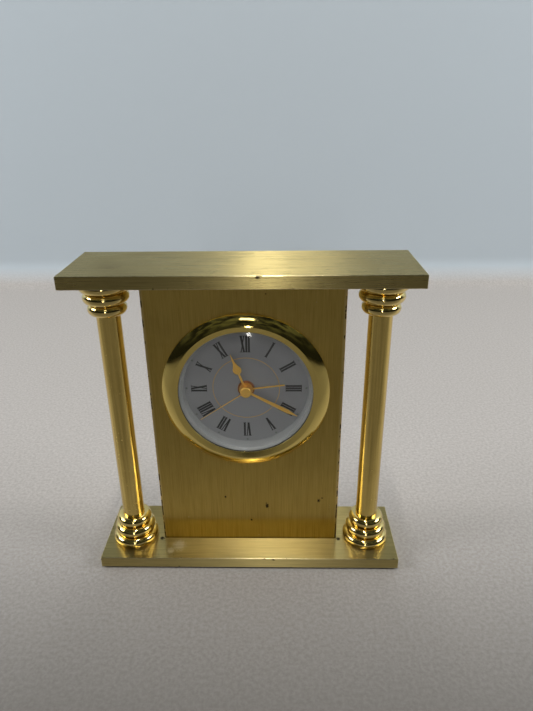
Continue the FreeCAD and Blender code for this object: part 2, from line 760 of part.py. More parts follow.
def insert_housing():
    """A cup with a front flange, a ledge for the dial's plate, cell walls and screw bosses."""
    flange_y = PANEL_Y - FLANGE_T
    step = PANEL_Y + HOUSING_STEP
    ledge_y = PLATE_FRONT_Y + TRAIN_PLATE_T
    ledge_r = BORE_R - LEDGE_W
    shell = turned_y(
        (HOUSING_MOUTH_R, flange_y),
        (FLANGE_R, flange_y),
        (FLANGE_R, PANEL_Y),
        (HOUSING_R, PANEL_Y),
        (HOUSING_R, COVER_Y),
        (BORE_R, COVER_Y),
        (BORE_R, ledge_y + LEDGE_T),
        (ledge_r, ledge_y + LEDGE_T),
        (ledge_r, ledge_y),
        (BORE_R, ledge_y),
        (BORE_R, step),
        (HOUSING_MOUTH_R, step),
    )
    inside = rod(BORE_R + HOUSING_WALL / 2, ledge_y, COVER_Y)
    extras = [rod(BOSS_R, COVER_Y - BOSS_DEPTH, COVER_Y, bearing(BOSS_RING_R, a)) for a in BOSS_ANGLES]
    wall_x = CELL_L / 2 + CELL_NUB_L + 3 * CONTACT_T
    for side in (-1, 1):
        x0, x1 = sorted((side * wall_x, side * (wall_x + HOUSING_WALL)))
        wall = block(x0, x1, ledge_y, COVER_Y - CELL_WALL_SHORT, AXIS_Z - HOUSING_R, AXIS_Z + BAY_HIGH)
        extras.append(wall.common(inside))
    holes = []
    for a in BOSS_ANGLES:
        holes.append(rod(COVER_SCREW_R + THREAD_CLEAR, COVER_Y - COVER_SCREW_L, COVER_Y + 1,
                         bearing(BOSS_RING_R, a)))
    return joined(shell, *extras).cut(holes)


def grip_band():
    """A ribbed rubber band: its first rib centres the insert in the panel's hole."""
    inner = HOUSING_R + BAND_CLEAR
    first_r = PANEL_HOLE_R - BAND_CLEAR
    y = PANEL_Y
    steps = [(inner, y), (first_r, y), (first_r, y + SHEET_T + BAND_CLEAR)]
    valley = (inner + first_r) / 2
    rise, crest_end, foot = [BAND_RIB_PITCH * share for share in BAND_RIB_SHARES]
    for i in range(BAND_RIBS):
        y0 = y + SHEET_T + BAND_CLEAR + i * BAND_RIB_PITCH
        steps.append((valley + BAND_RELIEF, y0) if i == 0 else (valley, y0))
        steps.append((BAND_RIB_R, y0 + rise))
        steps.append((BAND_RIB_R, y0 + crest_end))
        steps.append((valley, y0 + foot))
    steps.append((inner, steps[-1][1]))
    return turned_y(*steps)


def cell_window():
    return (-BAY_HALF_W, BAY_HALF_W, BAY_LOW, BAY_HIGH)


def door_outline(grow, y0, y1):
    """The cell door's plan: straight at the top and sides, round at the cover's rim."""
    half = DOOR_HALF_W + grow
    low = -HOUSING_R - 1
    plan = slab(y0, y1, (-half, low), (half, low), (half, DOOR_TOP + grow), (-half, DOOR_TOP + grow))
    return plan.common(rod(HOUSING_R, y0 - 1, y1 + 1))


def rear_cover():
    y0 = COVER_Y
    y1 = COVER_Y + COVER_T
    cover = rod(HOUSING_R, y0, y1)
    x0, x1, low, high = cell_window()
    groove_y = y1 - DOOR_T
    cuts = [
        door_outline(DOOR_GAP, groove_y - DOOR_GAP, y1 + 1),
        door_outline(DOOR_GAP + DOOR_TONGUE, groove_y - DOOR_GAP, groove_y + DOOR_T / 2),
        slab(y0 - 1, y1, *rounded(x0, x1, low, high, 1.0)),
        rod(KNOB_ARBOR_R + PIVOT_GAP, y0 - 1, y1 + 1, MINUTE_AT),
        rod(KNOB_ARBOR_R + PIVOT_GAP, y0 - 1, y1 + 1, ALARM_AT),
    ]
    half_w = SWITCH_STEM_W / 2 + SWITCH_GAP
    low = SWITCH_UP - SWITCH_STEM_H / 2 - SWITCH_GAP
    high = SWITCH_UP + SWITCH_STEM_H / 2 + SWITCH_TRAVEL + SWITCH_GAP
    cuts.append(slab(y0 - 1, y1 + 1, *rounded(SWITCH_X - half_w, SWITCH_X + half_w, low, high, 0.3)))
    for a in BOSS_ANGLES:
        spot = bearing(BOSS_RING_R, a)
        cuts.append(rod(COVER_SCREW_R + FIT_CLEAR, y0 - 1, y1 + 1, spot))
        cuts.append(rod(COVER_SCREW_HEAD_R + FIT_CLEAR, y1 - COVER_SCREW_HEAD_T, y1 + 1, spot))
    for i in range(GRILLE_SLOTS):
        up = BUZZER_UP + GRILLE_PITCH * (i - (GRILLE_SLOTS - 1) / 2)
        low, high = up - GRILLE_HALF_W, up + GRILLE_HALF_W
        plan = rounded(-GRILLE_HALF_L, GRILLE_HALF_L, low, high, 0.9 * GRILLE_HALF_W)
        cuts.append(slab(y0 - 1, y1 + 1, *plan))
    return cover.cut(cuts)


def rear_cover_screws():
    y1 = COVER_Y + COVER_T
    screws = []
    for a in BOSS_ANGLES:
        x, up = bearing(BOSS_RING_R, a)
        head = rod(COVER_SCREW_HEAD_R, y1 - COVER_SCREW_HEAD_T, y1, (x, up))
        shank = rod(COVER_SCREW_R, COVER_Y - COVER_SCREW_L + 1, y1 - COVER_SCREW_HEAD_T / 2, (x, up))
        z = AXIS_Z + up
        cross = []
        for half_x, half_z in ((CROSS_HALF_L, CROSS_HALF_W), (CROSS_HALF_W, CROSS_HALF_L)):
            cross.append(block(x - half_x, x + half_x, y1 - CROSS_DEPTH, y1 + 1, z - half_z, z + half_z))
        screws.append(joined(head, shank).cut(cross))
    return group(*screws)


def battery_door():
    """Slides down out of its grooves. Three ridges give a grip."""
    y1 = COVER_Y + COVER_T
    door = door_outline(0, y1 - DOOR_T, y1)
    tongue = door_outline(DOOR_TONGUE, y1 - DOOR_T, y1 - DOOR_T / 2 - DOOR_GAP)
    tongue = tongue.common(slab(y1 - DOOR_T, y1, (-40, -40), (40, -40), (40, DOOR_TOP), (-40, DOOR_TOP)))
    ridges = []
    for i in range(DOOR_RIDGES):
        up = DOOR_TOP - RIDGE_FIRST - RIDGE_PITCH * i
        low, high = up - RIDGE_HALF_W, up + RIDGE_HALF_W
        ridges.append(slab(y1 - RIDGE_H / 4, y1 + RIDGE_H,
                           *rounded(-RIDGE_HALF_L, RIDGE_HALF_L, low, high, 0.8 * RIDGE_HALF_W)))
    return joined(door, tongue, *ridges)


# ---- hands -------------------------------------------------------------------------------------
def mirrored_blade(y0, side):
    """A flat hand: the right-hand side's steps, mirrored to close the outline."""
    right = slab(y0, y0 + HAND_T, (0, 0), *side)
    return joined(right, upright(right.mirror(Vector(0, 0, AXIS_Z), Vector(1, 0, 0))))


def hand(name, side, back, bore_r):
    """A blade and its hub on one tube, turned to its place at rest."""
    front = back - HUB_T
    hub = rod(HUB_RADII[name], front, back)
    piece = joined(mirrored_blade(front, side), hub).cut(rod(bore_r + HUB_PRESS, front - 1, back + 1))
    return turned_to(piece, HAND_ANGLES[name])


def alarm_hand():
    half = ALARM_HAND_W / 2
    end, round_tip = [half * share for share in ALARM_TIP_SHARES]
    side = ((half, 0), (end, ALARM_TIP_R - half), ((round_tip, ALARM_TIP_R - half / 5), (0, ALARM_TIP_R)))
    return hand("alarm", side, ALARM_HUB_Y, ALARM_R)


def hour_hand():
    half = HOUR_STEM_W / 2
    wide = HOUR_LEAF_W / 2
    neck = HOUR_LEAF_WIDE_AT + HOUR_LEAF_NECK * (HOUR_TIP_R - HOUR_LEAF_WIDE_AT)
    below = HOUR_LEAF_START + 0.4 * (HOUR_LEAF_WIDE_AT - HOUR_LEAF_START)
    low_w, high_w, neck_w = [wide * share for share in HOUR_LEAF_SHARES]
    side = (
        (half, 0),
        (half, HOUR_LEAF_START),
        ((low_w, below), (wide, HOUR_LEAF_WIDE_AT)),
        ((high_w, (HOUR_LEAF_WIDE_AT + neck) / 2), (neck_w, neck)),
        (TIP_W / 2, HOUR_TIP_R),
        (0, HOUR_TIP_R),
    )
    return hand("hour", side, HOUR_HUB_Y, HOUR_R)


def minute_hand():
    wide = MINUTE_WIDE_W / 2
    side = (
        (MINUTE_STEM_W / 2, 0),
        (wide, MINUTE_WIDE_AT),
        (TIP_W / 2, MINUTE_TIP_R),
        (0, MINUTE_TIP_R),
    )
    return hand("minute", side, MINUTE_HUB_Y, CANNON_R)


def second_hand():
    """A thin straight hand under a rounded cap."""
    half = SECOND_HAND_W / 2
    side = ((half, 0), (TIP_W / 2, SECOND_TIP_R), (0, SECOND_TIP_R))
    front = CAP_Y - CAP_T
    q = CAP_EDGE_R * (1 - math.sqrt(0.5))
    cap = turned_y(
        (SECOND_ARBOR_R + HUB_PRESS, front + CAP_SKIN),
        (0, front + CAP_SKIN),
        (0, front),
        (CAP_R - CAP_EDGE_R, front),
        ((CAP_R - q, front + q), (CAP_R, front + CAP_EDGE_R)),
        (CAP_R, CAP_Y),
        (SECOND_ARBOR_R + HUB_PRESS, CAP_Y),
    )
    blade = mirrored_blade(CAP_Y - HAND_T * 2, side)
    blade = blade.cut(rod(CAP_R / 2, front, CAP_Y + 1))
    return turned_to(joined(cap, blade), HAND_ANGLES["second"])


# ---- movement ------------------------------------------------------------------------------------
def centre_bush():
    """A threaded bush, fixed in the dial-side plate, that carries the nested tubes."""
    back = PLATE_FRONT_Y + TRAIN_PLATE_T
    return turned_y(
        (BUSH_IN_R, BUSH_FRONT),
        (BUSH_R, BUSH_FRONT),
        (BUSH_R, back),
        (BUSH_FLANGE_R, back),
        (BUSH_FLANGE_R, back + BUSH_FLANGE_T),
        (BUSH_IN_R, back + BUSH_FLANGE_T),
    )


def centre_nut():
    return pipe(BUSH_R + THREAD_CLEAR, NUT_RING_R, DIAL_Y - NUT_RING_T, DIAL_Y)


def pivot_holes(y0, y1, holes):
    return [rod(r + PIVOT_GAP, y0 - 1, y1 + 1, at) for r, at in holes]


def front_train_plate():
    y0 = PLATE_FRONT_Y
    y1 = y0 + TRAIN_PLATE_T
    holes = [(BUSH_R - PIVOT_GAP + THREAD_CLEAR, CENTRE), (PIVOT_R, MINUTE_AT), (PIVOT_R, ALARM_AT)]
    return rod(BORE_R - FIT_CLEAR, y0, y1).cut(pivot_holes(y0, y1, holes))


def train_outline():
    return rounded(PLATE_LEFT, PLATE_RIGHT, PLATE_LOW, PLATE_HIGH, PLATE_CORNER)


def main_plate():
    y0 = MAIN_PLATE_Y
    y1 = y0 + TRAIN_PLATE_T
    holes = [(CANNON_R, CENTRE), (KNOB_ARBOR_R, MINUTE_AT), (KNOB_ARBOR_R, ALARM_AT)]
    holes += [(PIVOT_R, at) for at in (THIRD_AT, STEP_AT, ROTOR_AT)]
    holes += [(PILLAR_R - PIVOT_GAP + THREAD_CLEAR, at) for at in PILLARS]
    return slab(y0, y1, *train_outline()).cut(pivot_holes(y0, y1, holes))


def rear_train_plate():
    y0 = REAR_PLATE_Y
    y1 = y0 + TRAIN_PLATE_T
    holes = [(KNOB_ARBOR_R, MINUTE_AT), (KNOB_ARBOR_R, ALARM_AT)]
    holes += [(PIVOT_R, at) for at in (CENTRE, THIRD_AT, STEP_AT, ROTOR_AT)]
    return slab(y0, y1, *train_outline()).cut(pivot_holes(y0, y1, holes))


def train_pillars():
    """Posts from the dial-side plate, through the main plate, to the rear plate."""
    return group(*[rod(PILLAR_R, PLATE_FRONT_Y + TRAIN_PLATE_T, REAR_PLATE_Y, at) for at in PILLARS])


def arbor(at):
    """An arbor between the main and rear plates, with a thin pivot at each end."""
    front = MAIN_PLATE_Y + PIVOT_SHORT
    back = REAR_PLATE_Y + TRAIN_PLATE_T - PIVOT_SHORT
    shoulder0 = MAIN_PLATE_Y + TRAIN_PLATE_T + SHOULDER_GAP
    shoulder1 = REAR_PLATE_Y - SHOULDER_GAP
    return [rod(PIVOT_R, front, back, at), rod(ARBOR_R, shoulder0, shoulder1, at)]


def rotor():
    magnet = rod(ROTOR_R, ROTOR_Y, ROTOR_Y + ROTOR_T, ROTOR_AT)
    leaves = pinion(PINION, STEP_MODULE, STEP_WHEEL_Y, PHASE["rotor"], ROTOR_AT)
    neck = rod(NECK_R, STEP_WHEEL_Y + WHEEL_T + PINION_OVER, ROTOR_Y + 0.1, ROTOR_AT)
    return joined(magnet, leaves, neck, *arbor(ROTOR_AT))


def intermediate_wheel():
    leaves = pinion(PINION, SECOND_MODULE, SECOND_WHEEL_Y, PHASE["step_pinion"], STEP_AT)
    disc = wheel(STEP_TEETH, STEP_MODULE, STEP_WHEEL_Y, PHASE["step"], STEP_AT)
    neck = rod(NECK_R, SECOND_WHEEL_Y + WHEEL_T + PINION_OVER, STEP_WHEEL_Y + 0.1, STEP_AT)
    return joined(disc, leaves, neck, *arbor(STEP_AT))


def second_wheel():
    """The one-minute wheel. Its arbor runs forward through every tube to the second hand."""
    disc = wheel(SECOND_TEETH, SECOND_MODULE, SECOND_WHEEL_Y, PHASE["second"])
    leaves = pinion(PINION, THIRD_MODULE, THIRD_WHEEL_Y, PHASE["second_pinion"])
    hub = rod(NECK_R, THIRD_WHEEL_Y + WHEEL_T + PINION_OVER, REAR_PLATE_Y - SHOULDER_GAP)
    shaft = rod(SECOND_ARBOR_R, CAP_Y - CAP_T + CAP_SKIN + ARBOR_TIP_GAP, SECOND_WHEEL_Y)
    tail = rod(PIVOT_R, SECOND_WHEEL_Y, REAR_PLATE_Y + TRAIN_PLATE_T - PIVOT_SHORT)
    return joined(disc, leaves, hub, shaft, tail)


def third_wheel():
    disc = wheel(THIRD_TEETH, THIRD_MODULE, THIRD_WHEEL_Y, PHASE["third"], THIRD_AT)
    leaves = pinion(PINION, CENTRE_MODULE, CENTRE_WHEEL_Y, PHASE["third_pinion"], THIRD_AT)
    hub = rod(NECK_R, CENTRE_WHEEL_Y + WHEEL_T + PINION_OVER, THIRD_WHEEL_Y + 0.1, THIRD_AT)
    return joined(disc, leaves, hub, *arbor(THIRD_AT))


def centre_wheel():
    """The one-hour wheel, which grips the cannon pinion as a friction clutch."""
    disc = toothed(CENTRE_TEETH, CENTRE_MODULE, CENTRE_WHEEL_Y, CENTRE_WHEEL_Y + WHEEL_T, PHASE["centre"])
    disc = disc.cut(lightening(CENTRE_TEETH, CENTRE_MODULE, CENTRE))
    hub = rod(CANNON_R + CLUTCH_HUB_WALL, CENTRE_WHEEL_Y, CENTRE_WHEEL_Y + WHEEL_T + CLUTCH_HUB_OVER)
    return joined(disc, hub).cut(rod(CANNON_R + PIVOT_GAP, 0, 10))


def cannon_pinion():
    leaves = pinion(CANNON_TEETH, MINUTE_MODULE, MINUTE_WHEEL_Y, PHASE["cannon"])
    tube = rod(CANNON_R, MINUTE_HUB_Y - HUB_T, CENTRE_WHEEL_Y + WHEEL_T + 0.1)
    return joined(leaves, tube).cut(rod(CANNON_IN_R, -10, 10))


def minute_wheel():
    """The setting wheel. Its arbor runs back through the cover to the time knob."""
    disc = wheel(MINUTE_TEETH, MINUTE_MODULE, MINUTE_WHEEL_Y, PHASE["minute"], MINUTE_AT)
    leaves = pinion(MINUTE_PINION, HOUR_MODULE, HOUR_WHEEL_Y, PHASE["minute_pinion"], MINUTE_AT)
    neck = rod(NECK_R, HOUR_WHEEL_Y, MINUTE_WHEEL_Y + 0.1, MINUTE_AT)
    tip = rod(PIVOT_R, PLATE_FRONT_Y + PIVOT_SHORT, HOUR_WHEEL_Y, MINUTE_AT)
    shaft = rod(KNOB_ARBOR_R, MINUTE_WHEEL_Y, KNOB_Y + KNOB_T - KNOB_SEAT, MINUTE_AT)
    return joined(disc, leaves, neck, tip, shaft)


def hour_wheel():
    disc = wheel(HOUR_TEETH, HOUR_MODULE, HOUR_WHEEL_Y, PHASE["hour"])
    tube = rod(HOUR_R, HOUR_HUB_Y - HUB_T, HOUR_WHEEL_Y + WHEEL_T)
    return joined(disc, tube).cut(rod(HOUR_IN_R, -10, 10))


def alarm_wheel():
    disc = wheel(ALARM_TEETH, ALARM_MODULE, ALARM_WHEEL_Y, PHASE["alarm"])
    tube = rod(ALARM_R, ALARM_HUB_Y - HUB_T, ALARM_WHEEL_Y + WHEEL_T)
    return joined(disc, tube).cut(rod(ALARM_IN_R, -10, 10))


def alarm_arbor():
    leaves = pinion(ALARM_PINION, ALARM_MODULE, ALARM_WHEEL_Y, PHASE["alarm_pinion"], ALARM_AT)
    tip = rod(PIVOT_R, PLATE_FRONT_Y + PIVOT_SHORT, ALARM_WHEEL_Y, ALARM_AT)
    shaft = rod(KNOB_ARBOR_R, ALARM_WHEEL_Y, KNOB_Y + KNOB_T - KNOB_SEAT, ALARM_AT)
    return joined(leaves, tip, shaft)


def setting_knob(at):
    """A fluted knob with a broken rim, pressed on its arbor."""
    points = []
    for i in range(KNOB_FLUTES):
        angle = i * 360 / KNOB_FLUTES
        quarter = 90 / KNOB_FLUTES
        for r, spread in ((KNOB_R - KNOB_FLUTE, -2), (KNOB_R, -0.9), (KNOB_R, 0.9)):
            points.append(bearing(r, angle + spread * quarter, at))
    wire = Part.makePolygon([dial_place(KNOB_Y)(p) for p in points + points[:1]])
    knob = upright(Part.Face(wire).extrude(Vector(0, KNOB_T, 0)))
    dish = rod(KNOB_R - KNOB_RIM, KNOB_Y + KNOB_T - KNOB_DISH, KNOB_Y + KNOB_T + 1, at)
    bore = rod(KNOB_ARBOR_R + HUB_PRESS, KNOB_Y - 1, KNOB_Y + KNOB_T - KNOB_SEAT + HUB_PRESS, at)
    return knob.cut([dish, bore])


def alarm_switch():
    """A thumb slide: ridged cap outside, stem through the slot, foot inside the cover."""
    inside_y = COVER_Y - FIT_CLEAR
    outside_y = COVER_Y + COVER_T + FIT_CLEAR
    x, up = SWITCH_X, SWITCH_UP
    half_w = SWITCH_STEM_W / 2
    half_h = SWITCH_STEM_H / 2
    stem = slab(inside_y - 0.2, outside_y + 0.2,
                *rounded(x - half_w, x + half_w, up - half_h, up + half_h, 0.2))
    foot_w = half_w + SWITCH_FOOT_OVER[0]
    foot_h = half_h + SWITCH_FOOT_OVER[1]
    foot = slab(inside_y - SWITCH_FOOT_T, inside_y,
                *rounded(x - foot_w, x + foot_w, up - foot_h, up + foot_h, 0.3))
    half_w = SWITCH_CAP_W / 2
    half_h = SWITCH_CAP_H / 2
    cap = slab(outside_y, outside_y + SWITCH_CAP_T,
               *rounded(x - half_w, x + half_w, up - half_h, up + half_h, 0.6))
    grooves = []
    y0 = outside_y + SWITCH_CAP_T - SWITCH_GROOVE_DEPTH
    for i in range(SWITCH_GROOVES):
        z = AXIS_Z + up + SWITCH_GROOVE_PITCH * (i - (SWITCH_GROOVES - 1) / 2)
        low, high = z - SWITCH_GROOVE_HALF_W, z + SWITCH_GROOVE_HALF_W
        grooves.append(block(x - half_w - 1, x + half_w + 1, y0, y0 + 1, low, high))
    return joined(stem, foot, cap).cut(grooves)


# ---- motor, circuit, buzzer, cell ---------------------------------------------------------------
def stator():
    """A soft-iron loop: pad around the rotor, two yokes, and a core inside the coil."""
    y0 = STATOR_Y
    y1 = y0 + STATOR_T
    x, up = ROTOR_AT
    right = CORE_X + CORE_W / 2
    pad = rod(STATOR_PAD_R, y0, y1, ROTOR_AT)
    half = LIMB_W / 2
    limb = slab(y0, y1, (x - half, up), (x + half, up), (x + half, CORE_HIGH), (x - half, CORE_HIGH))
    low_end = CORE_LOW + YOKE_W
    top_end = CORE_HIGH - YOKE_W
    low = slab(y0, y1, (x, CORE_LOW), (right, CORE_LOW), (right, low_end), (x, low_end))
    top = slab(y0, y1, (x, top_end), (right, top_end), (right, CORE_HIGH), (x, CORE_HIGH))
    left = CORE_X - CORE_W / 2
    core = slab(y0, y1, (left, CORE_LOW), (right, CORE_LOW), (right, CORE_HIGH), (left, CORE_HIGH))
    return joined(pad, limb, low, top, core).cut(rod(ROTOR_R + ROTOR_AIR, y0 - 1, y1 + 1, ROTOR_AT))


def coil_section(r, low, high):
    """A round coil part along Z, centred on the core."""
    return post(r, AXIS_Z + low, AXIS_Z + high, CORE_X, STATOR_Y + STATOR_T / 2)


def coil_bobbin():
    tube = coil_section(COIL_TUBE_R, COIL_LOW, COIL_HIGH)
    flanges = [coil_section(COIL_FLANGE_R, COIL_LOW, COIL_LOW + COIL_FLANGE_T),
               coil_section(COIL_FLANGE_R, COIL_HIGH - COIL_FLANGE_T, COIL_HIGH)]
    half = CORE_W / 2 + FIT_CLEAR
    slot = block(CORE_X - half, CORE_X + half, STATOR_Y - FIT_CLEAR, STATOR_Y + STATOR_T + FIT_CLEAR,
                 AXIS_Z + COIL_LOW - 1, AXIS_Z + COIL_HIGH + 1)
    return joined(tube, *flanges).cut(slot)


def coil_winding():
    low = COIL_LOW + COIL_FLANGE_T + WINDING_GAP
    high = COIL_HIGH - COIL_FLANGE_T - WINDING_GAP
    return coil_section(WINDING_R, low, high).cut(coil_section(COIL_TUBE_R + THREAD_CLEAR, low - 1, high + 1))


def circuit_board():
    """The board, with the potted chip on its back face."""
    board = slab(BOARD_Y, BOARD_Y + BOARD_T, *rounded(BOARD_LEFT, BOARD_RIGHT, BOARD_LOW, BOARD_HIGH, 1.0))
    at = ((BOARD_LEFT + BOARD_RIGHT) / 2, 0.0)
    chip = rod(CHIP_R, BOARD_Y + BOARD_T / 2, BOARD_Y + BOARD_T + CHIP_T, at)
    return joined(board, chip)


def quartz_crystal():
    """The tuning-fork crystal's can, lying on the board's front face."""
    x = BOARD_RIGHT - CRYSTAL_CAN_IN
    y = BOARD_Y - CRYSTAL_CAN_R - SHOULDER_GAP
    z0 = AXIS_Z + CRYSTAL_CAN_UP
    return post(CRYSTAL_CAN_R, z0, z0 + CRYSTAL_CAN_L, x, y)


def piezo_buzzer():
    y1 = COVER_Y - FIT_CLEAR
    at = (0.0, BUZZER_UP)
    port = rod(BUZZER_PORT_R, y1 - BUZZER_PORT_DEPTH, y1 + 1, at)
    return rod(BUZZER_R, y1 - BUZZER_T, y1, at).cut(port)


def battery_cell():
    z = AXIS_Z - CELL_DOWN
    body = Part.makeCylinder(CELL_R, CELL_L, Vector(-CELL_L / 2, CELL_Y, z), Vector(1, 0, 0))
    root = CELL_L / 2 - 0.5
    nub = Part.makeCylinder(CELL_NUB_R, CELL_NUB_L + 0.5, Vector(root, CELL_Y, z), Vector(1, 0, 0))
    return joined(body, nub)


def cell_contact(x0, x1):
    z = AXIS_Z - CELL_DOWN
    return block(x0, x1, CELL_Y - CONTACT_W / 2, CELL_Y + CONTACT_W / 2, z + CONTACT_LOW, z + CONTACT_HIGH)


def positive_contact():
    x0 = CELL_L / 2 + CELL_NUB_L + CONTACT_T
    return cell_contact(x0, x0 + CONTACT_T)


def negative_spring():
    """A leaf bent into a shallow V, pressing on the cell's flat end."""
    wall = -(CELL_L / 2 + CELL_NUB_L + 2 * CONTACT_T)
    tip = -CELL_L / 2 - SHOULDER_GAP
    foot = SPRING_HALF_H
    lip = SPRING_HALF_H + SPRING_LIP
    z = AXIS_Z - CELL_DOWN
    place = lambda p: Vector(p[0], CELL_Y - CONTACT_W / 2, z + p[1])
    leaf = face(place, (wall, -foot), (tip - CONTACT_T, 0), (wall, foot), (wall + CONTACT_T, lip),
                (tip, 0), (wall + CONTACT_T, -lip))
    return upright(leaf.extrude(Vector(0, CONTACT_W, 0)))


# ---- the whole clock -------------------------------------------------------------------------------
def all_pieces():
    pieces = {
        "felt_pad": felt_pad(),
        "base_plate": base_plate(),
        "top_plate": top_plate(),
        "tie_rods": tie_rods(),
        "tie_rod_nuts": tie_rod_nuts(),
        "tie_rod_washers": tie_rod_washers(),
        "panel_shell": panel_shell(),
        "panel_screws": panel_screws(),
        "panel_studs": panel_studs(),
        "panel_stud_nuts": panel_stud_nuts(),
        "bezel": bezel(),
        "crystal": crystal(),
        "crystal_gasket": crystal_gasket(),
        "dial_ring": dial_ring(),
        "dial": dial(),
        "insert_housing": insert_housing(),
        "grip_band": grip_band(),
        "rear_cover": rear_cover(),
        "rear_cover_screws": rear_cover_screws(),
        "battery_door": battery_door(),
        "alarm_hand": alarm_hand(),
        "hour_hand": hour_hand(),
        "minute_hand": minute_hand(),
        "second_hand": second_hand(),
        "centre_bush": centre_bush(),
        "centre_nut": centre_nut(),
        "front_train_plate": front_train_plate(),
        "main_plate": main_plate(),
        "rear_train_plate": rear_train_plate(),
        "train_pillars": train_pillars(),
        "rotor": rotor(),
        "intermediate_wheel": intermediate_wheel(),
        "second_wheel": second_wheel(),
        "third_wheel": third_wheel(),
        "centre_wheel": centre_wheel(),
        "cannon_pinion": cannon_pinion(),
        "minute_wheel": minute_wheel(),
        "hour_wheel": hour_wheel(),
        "alarm_wheel": alarm_wheel(),
        "alarm_arbor": alarm_arbor(),
        "time_knob": setting_knob(MINUTE_AT),
        "alarm_knob": setting_knob(ALARM_AT),
        "alarm_switch": alarm_switch(),
        "stator": stator(),
        "coil_bobbin": coil_bobbin(),
        "coil_winding": coil_winding(),
        "circuit_board": circuit_board(),
        "quartz_crystal": quartz_crystal(),
        "piezo_buzzer": piezo_buzzer(),
        "battery_cell": battery_cell(),
        "positive_contact": positive_contact(),
        "negative_spring": negative_spring(),
    }
    for name, x in zip(("left", "right"), sides()):
        pieces[name + "_column_base"] = column_base(x)
        pieces[name + "_column_tube"] = column_tube(x)
        pieces[name + "_capital"] = capital(x)
    return pieces


def main():
    os.makedirs("parts", exist_ok=True)
    for name, shape in all_pieces().items():
        shape.exportStep("parts/" + name + ".step")


main()
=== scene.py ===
"""Looks of the brass column clock: finishes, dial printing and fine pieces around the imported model.

Everything is in metres in the model's frame: +X right, +Y back, +Z up, origin under the felt.
"""
import json
import math

import bmesh
import bpy
from mathutils import Matrix, Vector


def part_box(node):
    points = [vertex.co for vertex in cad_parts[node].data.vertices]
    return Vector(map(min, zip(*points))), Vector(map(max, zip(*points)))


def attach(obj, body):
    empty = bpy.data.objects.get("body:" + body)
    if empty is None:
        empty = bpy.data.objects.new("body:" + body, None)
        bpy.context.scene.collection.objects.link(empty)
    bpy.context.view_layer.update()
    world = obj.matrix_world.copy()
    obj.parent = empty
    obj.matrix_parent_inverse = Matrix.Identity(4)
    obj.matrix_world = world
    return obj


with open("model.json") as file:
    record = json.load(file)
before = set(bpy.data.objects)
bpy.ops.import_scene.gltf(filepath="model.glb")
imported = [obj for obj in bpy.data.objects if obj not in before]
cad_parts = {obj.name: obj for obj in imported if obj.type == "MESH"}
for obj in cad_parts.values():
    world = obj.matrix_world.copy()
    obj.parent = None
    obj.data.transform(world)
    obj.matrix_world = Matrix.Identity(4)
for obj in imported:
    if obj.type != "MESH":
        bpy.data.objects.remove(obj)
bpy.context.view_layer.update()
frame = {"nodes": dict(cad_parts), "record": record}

NODES = frame["nodes"]
MM = 0.001

# ---- places read from the frame --------------------------------------------------------
dial_low, dial_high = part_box("dial")
DIAL_FACE_Y = dial_low.y
AXIS = Vector(((dial_low.x + dial_high.x) / 2, DIAL_FACE_Y, (dial_low.z + dial_high.z) / 2))

# ---- dial printing, in millimetres ------------------------------------------------------
INK_T = 0.03
NUMERAL_IN = 17.25
NUMERAL_OUT = 24.2
CHAPTER_R = 14.6
CHAPTER_W = 0.24
DOT_RING_R = 26.0
DOT_R = 0.42

# ---- blade of the second hand, in millimetres ---------------------------------------------
SECOND_ANGLE = 236.0
BLADE_IN = 2.0
BLADE_OUT = 24.5
BLADE_ROOT_W = 0.42
BLADE_TIP_W = 0.20
BLADE_T = 0.26
BLADE_BEHIND_CAP = 1.1


# ---- node helpers -------------------------------------------------------------------------
def new_group(name, inputs, outputs):
    """An empty shader group. inputs and outputs are (name, kind, default) and (name, kind)."""
    tree = bpy.data.node_groups.new(name, "ShaderNodeTree")
    for label, kind, default in inputs:
        socket = tree.interface.new_socket(label, in_out="INPUT", socket_type="NodeSocket" + kind)
        socket.default_value = default
    for label, kind in outputs:
        tree.interface.new_socket(label, in_out="OUTPUT", socket_type="NodeSocket" + kind)
    return tree, tree.nodes.new("NodeGroupInput"), tree.nodes.new("NodeGroupOutput")


class Board:
    """Adds nodes to a tree with short calls, and links as it goes."""

    def __init__(self, tree):
        self.tree = tree

    def add(self, kind, links=None, **settings):
        node = self.tree.nodes.new("ShaderNode" + kind)
        for key, value in settings.items():
            setattr(node, key, value)
        for key, value in (links or {}).items():
            self.feed(node.inputs[key], value)
        return node

    def feed(self, socket, value):
        if isinstance(value, bpy.types.NodeSocket):
            self.tree.links.new(value, socket)
        else:
            socket.default_value = value

    def math(self, operation, a, b=0.0, clamp=False):
        node = self.add("Math", {0: a, 1: b}, operation=operation, use_clamp=clamp)
        return node.outputs[0]

    def noise(self, vector, scale, detail=2.0, rough=0.5, distortion=0.0):
        node = self.add("TexNoise", {"Vector": vector, "Scale": scale, "Detail": detail,
                                     "Roughness": rough, "Distortion": distortion})
        return node.outputs["Fac"]

    def ramp(self, value, low, high, to_low=0.0, to_high=1.0):
        node = self.add("MapRange", {"Value": value, "From Min": low, "From Max": high,
                                     "To Min": to_low, "To Max": to_high})
        return node.outputs["Result"]

    def blend(self, factor, a, b, mode="MIX"):
        node = self.add("Mix", data_type="RGBA", blend_type=mode)
        self.feed(node.inputs[0], factor)
        self.feed(node.inputs[6], a)
        self.feed(node.inputs[7], b)
        return node.outputs[2]

    def group(self, tree, **links):
        node = self.tree.nodes.new("ShaderNodeGroup")
        node.node_tree = tree
        for key, value in links.items():
            self.feed(node.inputs[key.replace("_", " ")], value)
        return node


